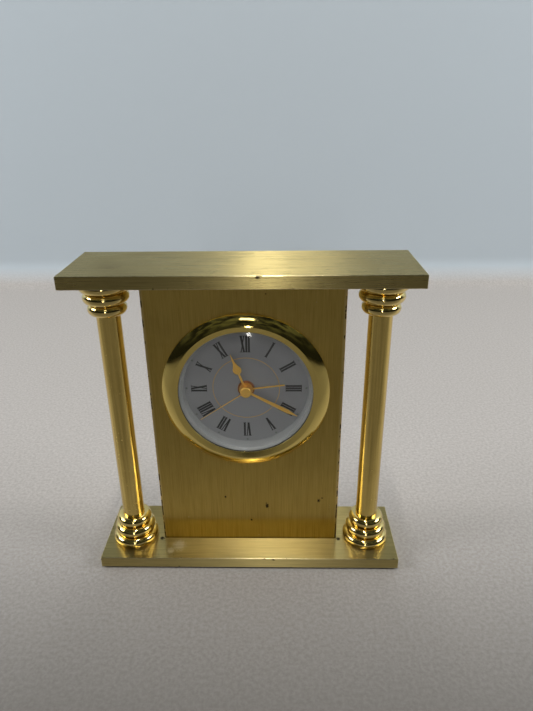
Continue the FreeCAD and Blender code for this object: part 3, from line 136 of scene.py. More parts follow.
# ---- shared effects --------------------------------------------------------------------------
def make_grain_group():
    """Brush lines that run along the vector's X. Length and Pitch are feature sizes in metres."""
    tree, given, out = new_group(
        "brush lines",
        [("Vector", "Vector", (0, 0, 0)), ("Length", "Float", 0.02), ("Pitch", "Float", 0.0002)],
        [("Lines", "Float"), ("Bands", "Float"), ("Scratches", "Float")],
    )
    b = Board(tree)
    parts = b.add("SeparateXYZ", {0: given.outputs["Vector"]}).outputs

    def stretched(length_share, pitch_share, detail):
        along = b.math("DIVIDE", parts[0], b.math("MULTIPLY", given.outputs["Length"], length_share))
        pitch = b.math("MULTIPLY", given.outputs["Pitch"], pitch_share)
        across = b.math("DIVIDE", parts[1], pitch)
        through = b.math("DIVIDE", parts[2], pitch)
        vector = b.add("CombineXYZ", {0: along, 1: across, 2: through}).outputs[0]
        return b.noise(vector, 1.0, detail)

    fine = stretched(1.0, 1.0, 3.0)
    wide = stretched(3.0, 9.0, 2.0)
    rare = stretched(0.5, 1.6, 1.0)
    tree.links.new(b.ramp(fine, 0.32, 0.68), out.inputs["Lines"])
    tree.links.new(b.ramp(wide, 0.35, 0.65), out.inputs["Bands"])
    tree.links.new(b.ramp(rare, 0.70, 0.76), out.inputs["Scratches"])
    return tree


def make_tarnish_group():
    """Cloudy patches of handling and dulling."""
    tree, given, out = new_group(
        "handling clouds",
        [("Vector", "Vector", (0, 0, 0)), ("Size", "Float", 0.03), ("Amount", "Float", 1.0)],
        [("Mask", "Float")],
    )
    b = Board(tree)
    scale = b.math("DIVIDE", 1.0, given.outputs["Size"])
    big = b.ramp(b.noise(given.outputs["Vector"], scale, 4.0, 0.6, 0.6), 0.42, 0.66)
    small = b.ramp(b.noise(given.outputs["Vector"], b.math("MULTIPLY", scale, 7.0), 3.0), 0.35, 0.75)
    both = b.math("MULTIPLY", big, b.math("ADD", 0.45, b.math("MULTIPLY", small, 0.55)))
    tree.links.new(b.math("MULTIPLY", both, given.outputs["Amount"], True), out.inputs["Mask"])
    return tree


def make_speck_group():
    """Sparse round specks: dark pits in metal, or dust that lies on it."""
    tree, given, out = new_group(
        "specks",
        [("Vector", "Vector", (0, 0, 0)), ("Spacing", "Float", 0.004), ("Share", "Float", 0.1),
         ("Radius", "Float", 0.12)],
        [("Mask", "Float")],
    )
    b = Board(tree)
    scale = b.math("DIVIDE", 1.0, given.outputs["Spacing"])
    cells = b.add("TexVoronoi", {"Vector": given.outputs["Vector"], "Scale": scale, "Randomness": 1.0})
    pick = b.add("SeparateColor", {0: cells.outputs["Color"]}).outputs
    chosen = b.math("LESS_THAN", pick[0], given.outputs["Share"])
    radius = b.math("MULTIPLY", given.outputs["Radius"], b.math("ADD", 0.4, pick[1]))
    inside = b.ramp(b.math("DIVIDE", cells.outputs["Distance"], radius), 1.0, 0.6)
    tree.links.new(b.math("MULTIPLY", chosen, inside, True), out.inputs["Mask"])
    return tree


def make_edge_group():
    """Nicks and rubbed metal along the edges of a box-shaped piece."""
    tree, given, out = new_group(
        "edge wear",
        [("Vector", "Vector", (0, 0, 0)), ("Half", "Vector", (1, 1, 1)), ("Width", "Float", 0.0006)],
        [("Rub", "Float"), ("Nicks", "Float")],
    )
    b = Board(tree)
    size = b.add("VectorMath", {0: given.outputs["Vector"]}, operation="ABSOLUTE").outputs[0]
    left = b.add("VectorMath", {0: given.outputs["Half"], 1: size}, operation="SUBTRACT").outputs[0]
    x, y, z = b.add("SeparateXYZ", {0: left}).outputs
    middle = b.math("MAXIMUM", b.math("MINIMUM", x, y), b.math("MINIMUM", b.math("MAXIMUM", x, y), z))
    near = b.math("DIVIDE", middle, given.outputs["Width"])
    rough = b.noise(given.outputs["Vector"], 420.0, 4.0, 0.65)
    rub = b.ramp(b.math("ADD", near, b.math("MULTIPLY", rough, 1.6)), 1.7, 0.7)
    dents = b.ramp(b.noise(given.outputs["Vector"], 260.0, 3.0, 0.7), 0.63, 0.68)
    nicks = b.math("MULTIPLY", dents, b.ramp(near, 2.2, 0.6), True)
    tree.links.new(rub, out.inputs["Rub"])
    tree.links.new(nicks, out.inputs["Nicks"])
    return tree


def make_mark_group():
    """One ragged mark, such as a pit, nick or scuff, at a place."""
    tree, given, out = new_group(
        "mark",
        [("Vector", "Vector", (0, 0, 0)), ("At", "Vector", (0, 0, 0)), ("Size", "Vector", (1, 1, 1))],
        [("Mask", "Float")],
    )
    b = Board(tree)
    away = b.add("VectorMath", {0: given.outputs["Vector"], 1: given.outputs["At"]}, operation="SUBTRACT")
    share = b.add("VectorMath", {0: away.outputs[0], 1: given.outputs["Size"]}, operation="DIVIDE")
    length = b.add("VectorMath", {0: share.outputs[0]}, operation="LENGTH").outputs["Value"]
    ragged = b.math("MULTIPLY", b.noise(given.outputs["Vector"], 1100.0, 4.0, 0.8), 2.4)
    tree.links.new(b.ramp(b.math("ADD", length, ragged), 2.35, 1.75), out.inputs["Mask"])
    return tree


FOLD_INSET = 0.0005                  # from the panel's side to the dark line of painted reflection
FOLD_REFLECTION_HEIGHTS = (0.045, 0.004)   # above the foot: where the line starts to thicken and where it is full


def make_fold_light_group():
    """Painted light along the two upright folds of a sheet: a painted highlight beside each fold, a dark,
    broken line of painted reflection on its front and a painted shadow along its foot.
    """
    tree, given, out = new_group(
        "fold painted light",
        [("Vector", "Vector", (0, 0, 0)), ("Half", "Float", 1.0), ("Foot", "Float", 0.0),
         ("Front", "Float", 0.0)],
        [("Mask", "Float"), ("Rub", "Float")],
    )
    b = Board(tree)
    x, y, z = b.add("SeparateXYZ", {0: given.outputs["Vector"]}).outputs
    inset = b.math("SUBTRACT", given.outputs["Half"], b.math("ABSOLUTE", x))
    # Painted reflection: a dark line on each fold, broken into dashes and fuller towards the foot.
    beside = b.ramp(b.math("ABSOLUTE", b.math("SUBTRACT", inset, FOLD_INSET)), 0.0004, 0.0002)
    behind = b.math("SUBTRACT", y, given.outputs["Front"])
    line = b.math("MULTIPLY", beside, b.ramp(behind, 0.0007, 0.0003))
    height = b.math("SUBTRACT", z, given.outputs["Foot"])
    low = b.ramp(height, *FOLD_REFLECTION_HEIGHTS)
    dashes = b.noise(given.outputs["Vector"], 330.0, 3.0, 0.6)
    broken = b.ramp(b.math("ADD", dashes, b.math("MULTIPLY", low, 0.17)), 0.56, 0.62)
    # Painted shadow along the foot of the sheet, where it stands on the plate below.
    foot = b.math("MULTIPLY", b.ramp(height, 0.0012, 0.0004), 0.6)
    painted_fold = b.math("MAXIMUM", b.math("MULTIPLY", line, broken, True), foot)
    tree.links.new(painted_fold, out.inputs["Mask"])
    # Painted highlight along the bend of each fold.
    tree.links.new(b.ramp(inset, 0.0016, 0.0008), out.inputs["Rub"])
    return tree


# Feature sizes of the finishes, in metres.
BRUSH_LENGTH = 0.016
BRUSH_PITCH = 0.00016
BRUSH_CLOUD = 0.035
PLATE_RELIEF = 0.000004
PANEL_RELIEF = 0.000006
POLISH_LENGTH = 0.012
POLISH_PITCH = 0.00022
POLISH_CLOUD = 0.014
POLISH_RELIEF = 0.0000008
DRAWN_LENGTH = 0.05
DRAWN_PITCH = 0.0009
DRAWN_RELIEF = 0.000012
EDGE_WIDTH = 0.0005
FINE_RELIEF = 0.000003

GRAIN = make_grain_group()
MARK = make_mark_group()
FOLD = make_fold_light_group()
CLOUDS = make_tarnish_group()
SPECKS = make_speck_group()
EDGES = make_edge_group()


# ---- materials ---------------------------------------------------------------------------------
def rgb(r, g, b):
    return (r, g, b, 1.0)


def darker(colour, share):
    return tuple(share * c for c in colour[:3]) + (1,)


PIT_AND_SHADE = rgb(0.05, 0.035, 0.015)
TARNISH_SPECK = rgb(0.10, 0.06, 0.02)
PALE_DUST = rgb(0.95, 0.88, 0.62)
GREY_DUST = rgb(0.55, 0.53, 0.50)
SCUFFED = rgb(0.92, 0.84, 0.60)
FOLD_HIGHLIGHT = rgb(0.86, 0.74, 0.40)
FOLD_PAINTED_DARK = rgb(0.030, 0.020, 0.010)
EDGE_RUBBED = rgb(0.95, 0.86, 0.62)
EDGE_NICK = rgb(0.10, 0.075, 0.035)


def start_material(name, **sockets):
    """A material with one Principled shader whose plain values are set on its own sockets."""
    material = bpy.data.materials.new(name)
    material.use_nodes = True
    tree = material.node_tree
    shader = tree.nodes["Principled BSDF"]
    for key, value in sockets.items():
        shader.inputs[key.replace("_", " ")].default_value = value
    board = Board(tree)
    place = board.add("TexCoord").outputs["Object"]
    return material, board, shader, place


def bump(board, height, distance, strength=1.0, normal=None):
    links = {"Height": height, "Distance": distance, "Strength": strength}
    if normal is not None:
        links["Normal"] = normal
    return board.add("Bump", links).outputs[0]


def add_marks(b, place, marks):
    """The marks' joint mask. A mark is (x, y, z, width, depth, height) in millimetres."""
    mask = 0.0
    for x, y, z, *size in marks:
        one = b.group(MARK, Vector=place, At=(x * MM, y * MM, z * MM), Size=[s * MM for s in size])
        mask = b.math("MAXIMUM", mask, one.outputs["Mask"])
    return mask


def brushed_brass(name, light, dark, grain_axis, roughness, relief, half=None, centre=(0, 0, 0),
                  pits=(), scuffs=(), fold=None, **sockets):
    """Lacquered brass brushed along one axis; the highlight spreads across the grain."""
    material, b, shader, place = start_material(
        name, Metallic=1.0, Anisotropic=1.0, Coat_Weight=0.05, Coat_Roughness=0.12, **sockets)
    turn = (0, 0, 0) if grain_axis == "X" else (0, math.radians(90), 0)
    along = b.add("Mapping", {"Vector": place, "Rotation": turn}).outputs[0]
    lines = b.group(GRAIN, Vector=along, Length=BRUSH_LENGTH, Pitch=BRUSH_PITCH)
    clouds = b.group(CLOUDS, Vector=place, Size=BRUSH_CLOUD, Amount=0.8)
    specks = b.group(SPECKS, Vector=place, Spacing=0.009, Share=0.13, Radius=0.045)
    dust = b.group(SPECKS, Vector=place, Spacing=0.0042, Share=0.10, Radius=0.05)
    colour = b.blend(lines.outputs["Lines"], dark, light)
    colour = b.blend(b.math("MULTIPLY", lines.outputs["Bands"], 0.35), colour, light)
    colour = b.blend(b.math("MULTIPLY", clouds.outputs["Mask"], 0.28), colour, darker(dark, 0.7))
    pitted_and_shaded = b.math("MAXIMUM", specks.outputs["Mask"], add_marks(b, place, pits))
    rubbed = add_marks(b, place, scuffs)
    # Pits, and on the base the painted corner shadows, take the dark colour.
    colour = b.blend(pitted_and_shaded, colour, PIT_AND_SHADE)
    colour = b.blend(b.math("MULTIPLY", dust.outputs["Mask"], 0.45), colour, PALE_DUST)
    lined = b.ramp(lines.outputs["Lines"], 0.0, 1.0, 0.1, 0.6)
    colour = b.blend(b.math("MULTIPLY", rubbed, lined), colour, SCUFFED)
    if fold is not None:
        # Painted light on the folds: a painted highlight, a painted reflection and a painted shadow at the
        # foot.
        painted_fold = b.group(FOLD, Vector=place, Half=fold[0], Foot=fold[1], Front=fold[2])
        colour = b.blend(b.math("MULTIPLY", painted_fold.outputs["Rub"], 0.35), colour, FOLD_HIGHLIGHT)
        colour = b.blend(painted_fold.outputs["Mask"], colour, FOLD_PAINTED_DARK)
    rough = b.math("ADD", roughness, b.math("MULTIPLY", lines.outputs["Lines"], 0.05))
    rough = b.math("ADD", rough, b.math("MULTIPLY", rubbed, 0.2))
    rough = b.math("ADD", rough, b.math("MULTIPLY", clouds.outputs["Mask"], 0.07))
    height = b.math("MULTIPLY", lines.outputs["Lines"], 0.5)
    height = b.math("SUBTRACT", height, b.math("MULTIPLY", lines.outputs["Scratches"], 0.6))
    height = b.math("SUBTRACT", height, b.math("MULTIPLY", pitted_and_shaded, 2.0))
    if half is not None:
        local = b.add("VectorMath", {0: place, 1: centre}, operation="SUBTRACT").outputs[0]
        wear = b.group(EDGES, Vector=local, Half=half, Width=EDGE_WIDTH)
        colour = b.blend(b.math("MULTIPLY", wear.outputs["Rub"], 0.45), colour, EDGE_RUBBED)
        colour = b.blend(b.math("MULTIPLY", wear.outputs["Nicks"], 0.75), colour, EDGE_NICK)
        height = b.math("SUBTRACT", height, b.math("MULTIPLY", wear.outputs["Nicks"], 6.0))
    across = (0, 1, 1) if grain_axis == "X" else (1, 1, 0)
    tangent = b.add("CombineXYZ", {0: across[0], 1: across[1], 2: across[2]}).outputs[0]
    b.feed(shader.inputs["Base Color"], colour)
    b.feed(shader.inputs["Roughness"], rough)
    b.feed(shader.inputs["Normal"], bump(b, height, relief))
    b.feed(shader.inputs["Tangent"], tangent)
    return material


def polished_brass(name, light, dark, roughness=0.09, cloud=0.35, speck_share=0.05, drawn=False):
    """Bright lacquered brass with faint marks, clouds and a few specks. drawn adds upright drawing lines in
    the relief and, as a painted reflection, dark upright streaks in the colour.
    """
    material, b, shader, place = start_material(name, Metallic=1.0, Coat_Weight=0.08, Coat_Roughness=0.05)
    clouds = b.group(CLOUDS, Vector=place, Size=POLISH_CLOUD, Amount=1.0)
    lines = b.group(GRAIN, Vector=place, Length=POLISH_LENGTH, Pitch=POLISH_PITCH)
    specks = b.group(SPECKS, Vector=place, Spacing=0.0045, Share=speck_share, Radius=0.06)
    colour = b.blend(b.math("MULTIPLY", clouds.outputs["Mask"], cloud), light, dark)
    rough = b.math("ADD", roughness, b.math("MULTIPLY", clouds.outputs["Mask"], 0.10))
    rough = b.math("ADD", rough, b.math("MULTIPLY", lines.outputs["Scratches"], 0.08))
    relief = POLISH_RELIEF
    if drawn:
        along = b.add("Mapping", {"Vector": place, "Rotation": (0, math.radians(90), 0)}).outputs[0]
        lines = b.group(GRAIN, Vector=along, Length=DRAWN_LENGTH, Pitch=DRAWN_PITCH)
        # Painted reflection: dark upright streaks on the tubes.
        painted_streak = lines.outputs["Lines"]
        colour = b.blend(b.math("MULTIPLY", painted_streak, 0.45), colour, darker(dark, 0.55))
        rough = b.math("ADD", rough, b.math("MULTIPLY", lines.outputs["Bands"], 0.10))
        relief = DRAWN_RELIEF
    colour = b.blend(specks.outputs["Mask"], colour, TARNISH_SPECK)
    b.feed(shader.inputs["Base Color"], colour)
    b.feed(shader.inputs["Roughness"], rough)
    b.feed(shader.inputs["Normal"], bump(b, lines.outputs["Lines"], relief))
    return material


def plain_metal(name, light, dark, roughness=0.3):
    """Bare or plated metal, lightly marked."""
    material, b, shader, place = start_material(name, Metallic=1.0)
    clouds = b.group(CLOUDS, Vector=place, Size=0.004, Amount=1.0)
    lines = b.group(GRAIN, Vector=place, Length=0.003, Pitch=0.0001)
    b.feed(shader.inputs["Base Color"], b.blend(clouds.outputs["Mask"], light, dark))
    rough = b.math("ADD", roughness, b.math("MULTIPLY", lines.outputs["Lines"], 0.12))
    b.feed(shader.inputs["Roughness"], rough)
    b.feed(shader.inputs["Normal"], bump(b, lines.outputs["Lines"], 0.000004))
    return material


def moulded_plastic(name, light, dark, roughness=0.45, texture=0.000012, **sockets):
    """Moulded plastic with a spark-eroded texture and a little dust."""
    material, b, shader, place = start_material(name, **sockets)
    clouds = b.group(CLOUDS, Vector=place, Size=0.02, Amount=1.0)
    dust = b.group(SPECKS, Vector=place, Spacing=0.0012, Share=0.10, Radius=0.10)
    colour = b.blend(clouds.outputs["Mask"], light, dark)
    colour = b.blend(b.math("MULTIPLY", dust.outputs["Mask"], 0.35), colour, GREY_DUST)
    b.feed(shader.inputs["Base Color"], colour)
    rough = b.math("ADD", roughness, b.math("MULTIPLY", clouds.outputs["Mask"], 0.12))
    b.feed(shader.inputs["Roughness"], rough)
    b.feed(shader.inputs["Normal"], bump(b, b.noise(place, 5200.0, 3.0), texture))
    return material


def clear_glass():
    """Acrylic-clear glass with faint smears and a little dust."""
    material, b, shader, place = start_material(
        "clear glass", Transmission_Weight=1.0, IOR=1.49, Metallic=0.0)
    smears = b.group(CLOUDS, Vector=place, Size=0.012, Amount=1.0)
    dust = b.group(SPECKS, Vector=place, Spacing=0.0022, Share=0.04, Radius=0.05)
    colour = b.blend(dust.outputs["Mask"], rgb(0.985, 0.99, 0.99), rgb(0.7, 0.7, 0.7))
    b.feed(shader.inputs["Base Color"], colour)
    b.feed(shader.inputs["Roughness"], b.math("MULTIPLY", smears.outputs["Mask"], 0.012))
    return material


def dial_lacquer():
    """Silvered satin: pale, half metallic and finely grained."""
    material, b, shader, place = start_material(
        "silvered dial", Metallic=0.5, Coat_Weight=0.1, Coat_Roughness=0.35)
    clouds = b.group(CLOUDS, Vector=place, Size=0.03, Amount=1.0)
    fine = b.noise(place, 9000.0, 3.0)
    colour = b.blend(clouds.outputs["Mask"], rgb(0.29, 0.293, 0.305), rgb(0.26, 0.263, 0.275))
    b.feed(shader.inputs["Base Color"], colour)
    b.feed(shader.inputs["Roughness"], b.math("ADD", 0.42, b.math("MULTIPLY", fine, 0.15)))
    b.feed(shader.inputs["Normal"], bump(b, fine, FINE_RELIEF))
    return material


def felt_cloth(name, light, dark):
    """Short matted fibres."""
    material, b, shader, place = start_material(name, Sheen_Weight=0.6, Sheen_Roughness=0.5)
    tufts = b.noise(place, 1400.0, 5.0, 0.7, 0.8)
    fuzz = b.noise(place, 5200.0, 3.0, 0.7)
    b.feed(shader.inputs["Base Color"], b.blend(tufts, dark, light))
    b.feed(shader.inputs["Roughness"], b.math("ADD", 0.85, b.math("MULTIPLY", fuzz, 0.12)))
    b.feed(shader.inputs["Normal"], bump(b, b.math("ADD", tufts, fuzz), 0.00012))
    return material


def printed_ink():
    """Black printing with a slightly uneven gloss."""
    material, b, shader, place = start_material("printed black", Coat_Weight=0.1)
    fine = b.noise(place, 7000.0, 2.0)
    b.feed(shader.inputs["Base Color"], b.blend(fine, rgb(0.004, 0.004, 0.005), rgb(0.012, 0.012, 0.014)))
    b.feed(shader.inputs["Roughness"], b.math("ADD", 0.32, b.math("MULTIPLY", fine, 0.16)))
    b.feed(shader.inputs["Normal"], bump(b, fine, FINE_RELIEF))
    return material


# One finish for each material slot. A node or a group of nodes with a finish of its own is named in full.
MATERIALS = {
    "polished_brass": polished_brass("polished brass", rgb(0.80, 0.62, 0.24), rgb(0.58, 0.44, 0.16)),
    "bezel_gold": polished_brass("bezel gold", rgb(0.86, 0.67, 0.21), rgb(0.72, 0.54, 0.16), 0.06, 0.2, 0.02),
    "drawn_brass": polished_brass("drawn brass with painted streaks", rgb(0.84, 0.63, 0.20), rgb(0.60, 0.42, 0.11), 0.12,
                                  drawn=True),
    "hand_gold": polished_brass("gilt hands", rgb(1.0, 0.62, 0.13), rgb(0.86, 0.50, 0.10), 0.38, 0.2, 0.0),
    "chapter_gilt": polished_brass("chapter gilt", rgb(0.70, 0.42, 0.12), rgb(0.55, 0.32, 0.09), 0.4),
    "zinc_steel": plain_metal("zinc steel", rgb(0.62, 0.63, 0.64), rgb(0.45, 0.45, 0.44)),
    "crystal_glass": clear_glass(),
    "black_rubber": moulded_plastic("black rubber", rgb(0.02, 0.02, 0.02), rgb(0.035, 0.034, 0.033), 0.7),
    "white_plastic": moulded_plastic("white plastic", rgb(0.78, 0.78, 0.76), rgb(0.70, 0.70, 0.67), 0.38),
    "dial_silver": dial_lacquer(),
    "dial_ring": moulded_plastic("silvered ring", rgb(0.27, 0.275, 0.27), rgb(0.22, 0.225, 0.22), 0.3),
    "black_plastic": moulded_plastic("black plastic", rgb(0.022, 0.022, 0.024), rgb(0.035, 0.035, 0.036),
                                     0.48, 0.00003),
    "wheel_plastic": moulded_plastic("wheel plastic", rgb(0.80, 0.78, 0.68), rgb(0.72, 0.70, 0.60), 0.4),
    "green_felt": felt_cloth("green felt", rgb(0.035, 0.12, 0.07), rgb(0.012, 0.05, 0.028)),
    "board_green": moulded_plastic("circuit board", rgb(0.03, 0.17, 0.07), rgb(0.02, 0.12, 0.05), 0.35),
    "centre_nut": plain_metal("bronze nut", rgb(0.48, 0.20, 0.07), rgb(0.30, 0.11, 0.04), 0.25),
    "soft_iron": plain_metal("soft iron", rgb(0.42, 0.42, 0.43), rgb(0.30, 0.29, 0.28), 0.4),
    "magnet": plain_metal("magnet", rgb(0.10, 0.10, 0.11), rgb(0.06, 0.06, 0.06), 0.5),
    "copper_wire": plain_metal("copper wire", rgb(0.72, 0.30, 0.12), rgb(0.55, 0.20, 0.08), 0.3),
    "cell_jacket": moulded_plastic("cell jacket", rgb(0.05, 0.12, 0.30), rgb(0.04, 0.10, 0.26), 0.3),
    "lume": moulded_plastic("hour dots", rgb(0.16, 0.19, 0.17), rgb(0.11, 0.13, 0.12), 0.6),
    "ink": printed_ink(),
}


# Marks of use, and two painted shadows on the base, as (x, y, z, width, depth, height) in millimetres.
TOP_PITS = (
    (6.4, -19.0, 142.2, 0.9, 0.5, 0.7),
    (33, -11, 142.8, 0.5, 0.4, 0.4),
    (41, -13, 142.8, 0.4, 0.3, 0.3),
    (4.5, -15, 142.8, 0.5, 0.5, 0.4),
)
TOP_SCUFFS = ((-52, -6, 142.8, 4.5, 3.0, 0.5), (-44, -17, 142.8, 6.0, 0.8, 0.6))
BASE_PITS_AND_SHADOWS = (
    (11.5, -19.0, 5.6, 0.8, 0.5, 0.5),
    # Painted shadows: the next two are dark spots in the gaps under the panel's two bottom corners.
    (-43, -5.6, 6.2, 1.2, 1.2, 0.4),
    (43, -5.6, 6.2, 1.2, 1.2, 0.4),
)
BASE_SCUFFS = ((-34, -10.5, 6.2, 3.2, 3.6, 0.5), (-37.5, -14, 6.2, 1.8, 2.0, 0.5))
PANEL_PITS = (
    (-11, -5.3, 31, 0.5, 0.5, 0.7),
    (8.6, -5.3, 26, 0.8, 0.5, 1.6),
    (33, -5.3, 29, 0.7, 0.5, 1.2),
    (34.5, -5.3, 30.5, 0.5, 0.5, 0.4),
    (1, -5.3, 17.5, 0.5, 0.5, 0.6),
)
TOP_ROUGHNESS = 0.25
BASE_ROUGHNESS = 0.31
PANEL_ROUGHNESS = 0.28


def plate_material(node, name):
    low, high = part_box(node)
    half = (high - low) / 2
    upper = node == "top_plate"
    roughness = TOP_ROUGHNESS if upper else BASE_ROUGHNESS
    return brushed_brass(
        name, rgb(0.64, 0.52, 0.215), rgb(0.42, 0.33, 0.125), "X", roughness, PLATE_RELIEF,
        half=tuple(half), centre=tuple((low + high) / 2),
        pits=TOP_PITS if upper else BASE_PITS_AND_SHADOWS, scuffs=TOP_SCUFFS if upper else BASE_SCUFFS)


def panel_material():
    low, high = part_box("panel_shell")
    return brushed_brass(
        "panel brass", rgb(0.63, 0.455, 0.125), rgb(0.43, 0.30, 0.07), "Z", PANEL_ROUGHNESS, PANEL_RELIEF,
        pits=PANEL_PITS, fold=(high.x, low.z, low.y))


def finish_nodes():
    """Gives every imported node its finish: its own one if it has one, or else its slot's."""
    slot_of = {row["node"]: row["material_slot"] for row in frame["record"]["subparts"]}
    MATERIALS["panel_brass"] = panel_material()
    for name, node in NODES.items():
        if slot_of[name] == "brushed_brass":
            material = plate_material(name, name.replace("_", " ") + " brass")
        elif "tube" in name:
            material = MATERIALS["drawn_brass"]
        else:
            material = MATERIALS.get(name) or MATERIALS[slot_of[name]]
        node.data.materials.clear()
        node.data.materials.append(material)
    NODES["crystal"].visible_shadow = False


finish_nodes()


# ---- piece helpers ---------------------------------------------------------------------------------
def piece(name, bm, material, body, smooth=False):
    """Makes a mesh object from a bmesh, puts it on a body and gives it its finish."""
    mesh = bpy.data.meshes.new(name)
    bm.to_mesh(mesh)
    bm.free()
    for polygon in mesh.polygons:
        polygon.use_smooth = smooth
    obj = bpy.data.objects.new(name, mesh)
    bpy.context.scene.collection.objects.link(obj)
    mesh.materials.append(material)
    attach(obj, body)
    return obj


def dial_matrix(angle, u, v, lift=0.0):
    """A place on the dial: u millimetres clockwise and v outwards at a dial angle, lift towards the front."""
    turn = math.radians(angle)
    out = Vector((math.sin(turn), 0, math.cos(turn)))
    side = Vector((math.cos(turn), 0, -math.sin(turn)))
    front = Vector((0, -1, 0))
    at = AXIS + (out * v + side * u + front * lift) * MM
    return Matrix((
        (side.x, out.x, front.x, at.x),
        (side.y, out.y, front.y, at.y),
        (side.z, out.z, front.z, at.z),
        (0, 0, 0, 1),
    ))


def stroke(bm, place, bottom, top, low, high, width):
    """A printed stroke from (bottom, low) to (top, high) with level ends, in millimetres."""
    sheared = Matrix((
        (width, top - bottom, 0, (bottom + top) / 2),
        (0, high - low, 0, (low + high) / 2),
        (0, 0, INK_T, INK_T / 2),
        (0, 0, 0, 1),
    ))
    bmesh.ops.create_cube(bm, size=1.0, matrix=place @ Matrix.Scale(MM, 4) @ sheared)


BAR_W = 0.86
THIN_W = 0.42
SERIF_H = 0.2
SERIF_OVER = 0.22
GLYPHS = {"I": 1.10, "V": 2.25, "X": 2.15}   # advance widths
V_MARGIN = 0.45
X_MARGIN = 0.42
V_FOOT_IN = 0.05
V_FOOT_OUT = 0.1


def glyph_i(bm, place, x, low, high):
    stroke(bm, place, x, x, low, high, BAR_W)
    for y in (low, high - SERIF_H):
        stroke(bm, place, x, x, y, y + SERIF_H, BAR_W + 2 * SERIF_OVER)


def glyph_v(bm, place, x, low, high):
    half = GLYPHS["V"] / 2 - V_MARGIN
    stroke(bm, place, x - V_FOOT_IN, x - half, low, high, BAR_W)
    stroke(bm, place, x + V_FOOT_OUT, x + half, low, high, THIN_W)
    for side, width in ((-half, BAR_W), (half, THIN_W)):
        stroke(bm, place, x + side, x + side, high - SERIF_H, high, width + 2 * SERIF_OVER)


def glyph_x(bm, place, x, low, high):
    half = GLYPHS["X"] / 2 - X_MARGIN
    stroke(bm, place, x + half, x - half, low, high, BAR_W)
    stroke(bm, place, x - half, x + half, low, high, THIN_W)
    for side in (-half, half):
        for y in (low, high - SERIF_H):
            stroke(bm, place, x + side, x + side, y, y + SERIF_H, BAR_W + 1.4 * SERIF_OVER)


DRAW = {"I": glyph_i, "V": glyph_v, "X": glyph_x}
HOURS = ("I", "II", "III", "IIII", "V", "VI", "VII", "VIII", "IX", "X", "XI", "XII")


def numerals():
    """Roman numerals that stand with their feet towards the axis."""
    bm = bmesh.new()
    for hour, word in enumerate(HOURS, 1):
        place = dial_matrix(30 * hour, 0, 0)
        width = sum(GLYPHS[c] for c in word)
        x = -width / 2
        for c in word:
            DRAW[c](bm, place, x + GLYPHS[c] / 2, NUMERAL_IN, NUMERAL_OUT)
            x += GLYPHS[c]
    return piece("numerals", bm, MATERIALS["ink"], "case")


def chapter_ring():
    """The thin gilt circle inside the numerals."""
    bm = bmesh.new()
    section = bmesh.ops.create_grid(bm, x_segments=1, y_segments=1, size=0.5)
    bmesh.ops.scale(bm, vec=(CHAPTER_W * MM, INK_T * MM, 1), verts=section["verts"])
    bmesh.ops.translate(bm, vec=AXIS + Vector((CHAPTER_R * MM, -INK_T * MM / 2, 0)), verts=section["verts"])
    bmesh.ops.spin(bm, geom=bm.verts[:] + bm.edges[:] + bm.faces[:], cent=AXIS, axis=(0, 1, 0),
                   angle=math.tau, steps=144, use_merge=True)
    bmesh.ops.recalc_face_normals(bm, faces=bm.faces)
    return piece("chapter_ring", bm, MATERIALS["chapter_gilt"], "case")


def hour_dots():
    """Small raised dots outside the numerals."""
    bm = bmesh.new()
    for hour in range(12):
        place = dial_matrix(30 * hour, 0, DOT_RING_R, INK_T / 2)
        bmesh.ops.create_cone(bm, cap_ends=True, segments=20, radius1=DOT_R * MM,
                              radius2=DOT_R * MM * 0.8, depth=INK_T * MM, matrix=place)
    return piece("hour_dots", bm, MATERIALS["lume"], "case")


def second_blade():
    """The long blade of the second hand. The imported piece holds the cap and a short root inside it."""
    bm = bmesh.new()
    cap_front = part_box("second_hand")[0].y
    lift = (DIAL_FACE_Y - cap_front) / MM - BLADE_BEHIND_CAP
    place = dial_matrix(SECOND_ANGLE, 0, 0, lift) @ Matrix.Scale(MM, 4)
    middle = Matrix.Translation((0, (BLADE_IN + BLADE_OUT) / 2, 0))
    outward = Matrix.Rotation(math.radians(-90), 4, "X")
    thin = Matrix.Diagonal((1, BLADE_T / BLADE_ROOT_W, 1, 1))
    bmesh.ops.create_cone(bm, cap_ends=True, segments=4, radius1=BLADE_ROOT_W / math.sqrt(2),
                          radius2=BLADE_TIP_W / math.sqrt(2), depth=BLADE_OUT - BLADE_IN,
                          matrix=place @ middle @ outward @ thin @ Matrix.Rotation(math.radians(45), 4, "Z"))
    bmesh.ops.recalc_face_normals(bm, faces=bm.faces)
    return piece("second_blade", bm, MATERIALS["hand_gold"], "seconds")


numerals()
chapter_ring()
hour_dots()
second_blade()


# ---- studio -----------------------------------------------------------------------------------------
CAMERA_AT = Vector((0.014416, -0.225337, 0.203329))
CAMERA_YAW = -0.024
CAMERA_PITCH = 0.423
CAMERA_ROLL = -0.012
LENS_MM = 29.1286
SENSOR_MM = 36.0
NEAR_CLIP = 0.01


FLOOR_REACH = 3.0        # half the floor's width, and how far it comes forward
WALL_Y = 0.41            # where the floor starts to turn up
WALL_CURVE = 0.03
WALL_STEPS = 12
WALL_TOP = 3.0
WALL_BLEND = (0.004, 0.02)     # heights over which the floor's finish turns into the wall's
PAINTED_SHADOW_SPAN = (0.035, -0.10)    # places in Y where the painted shadow on the floor starts and is full
PAINTED_SHADOW_SHARE = 0.74


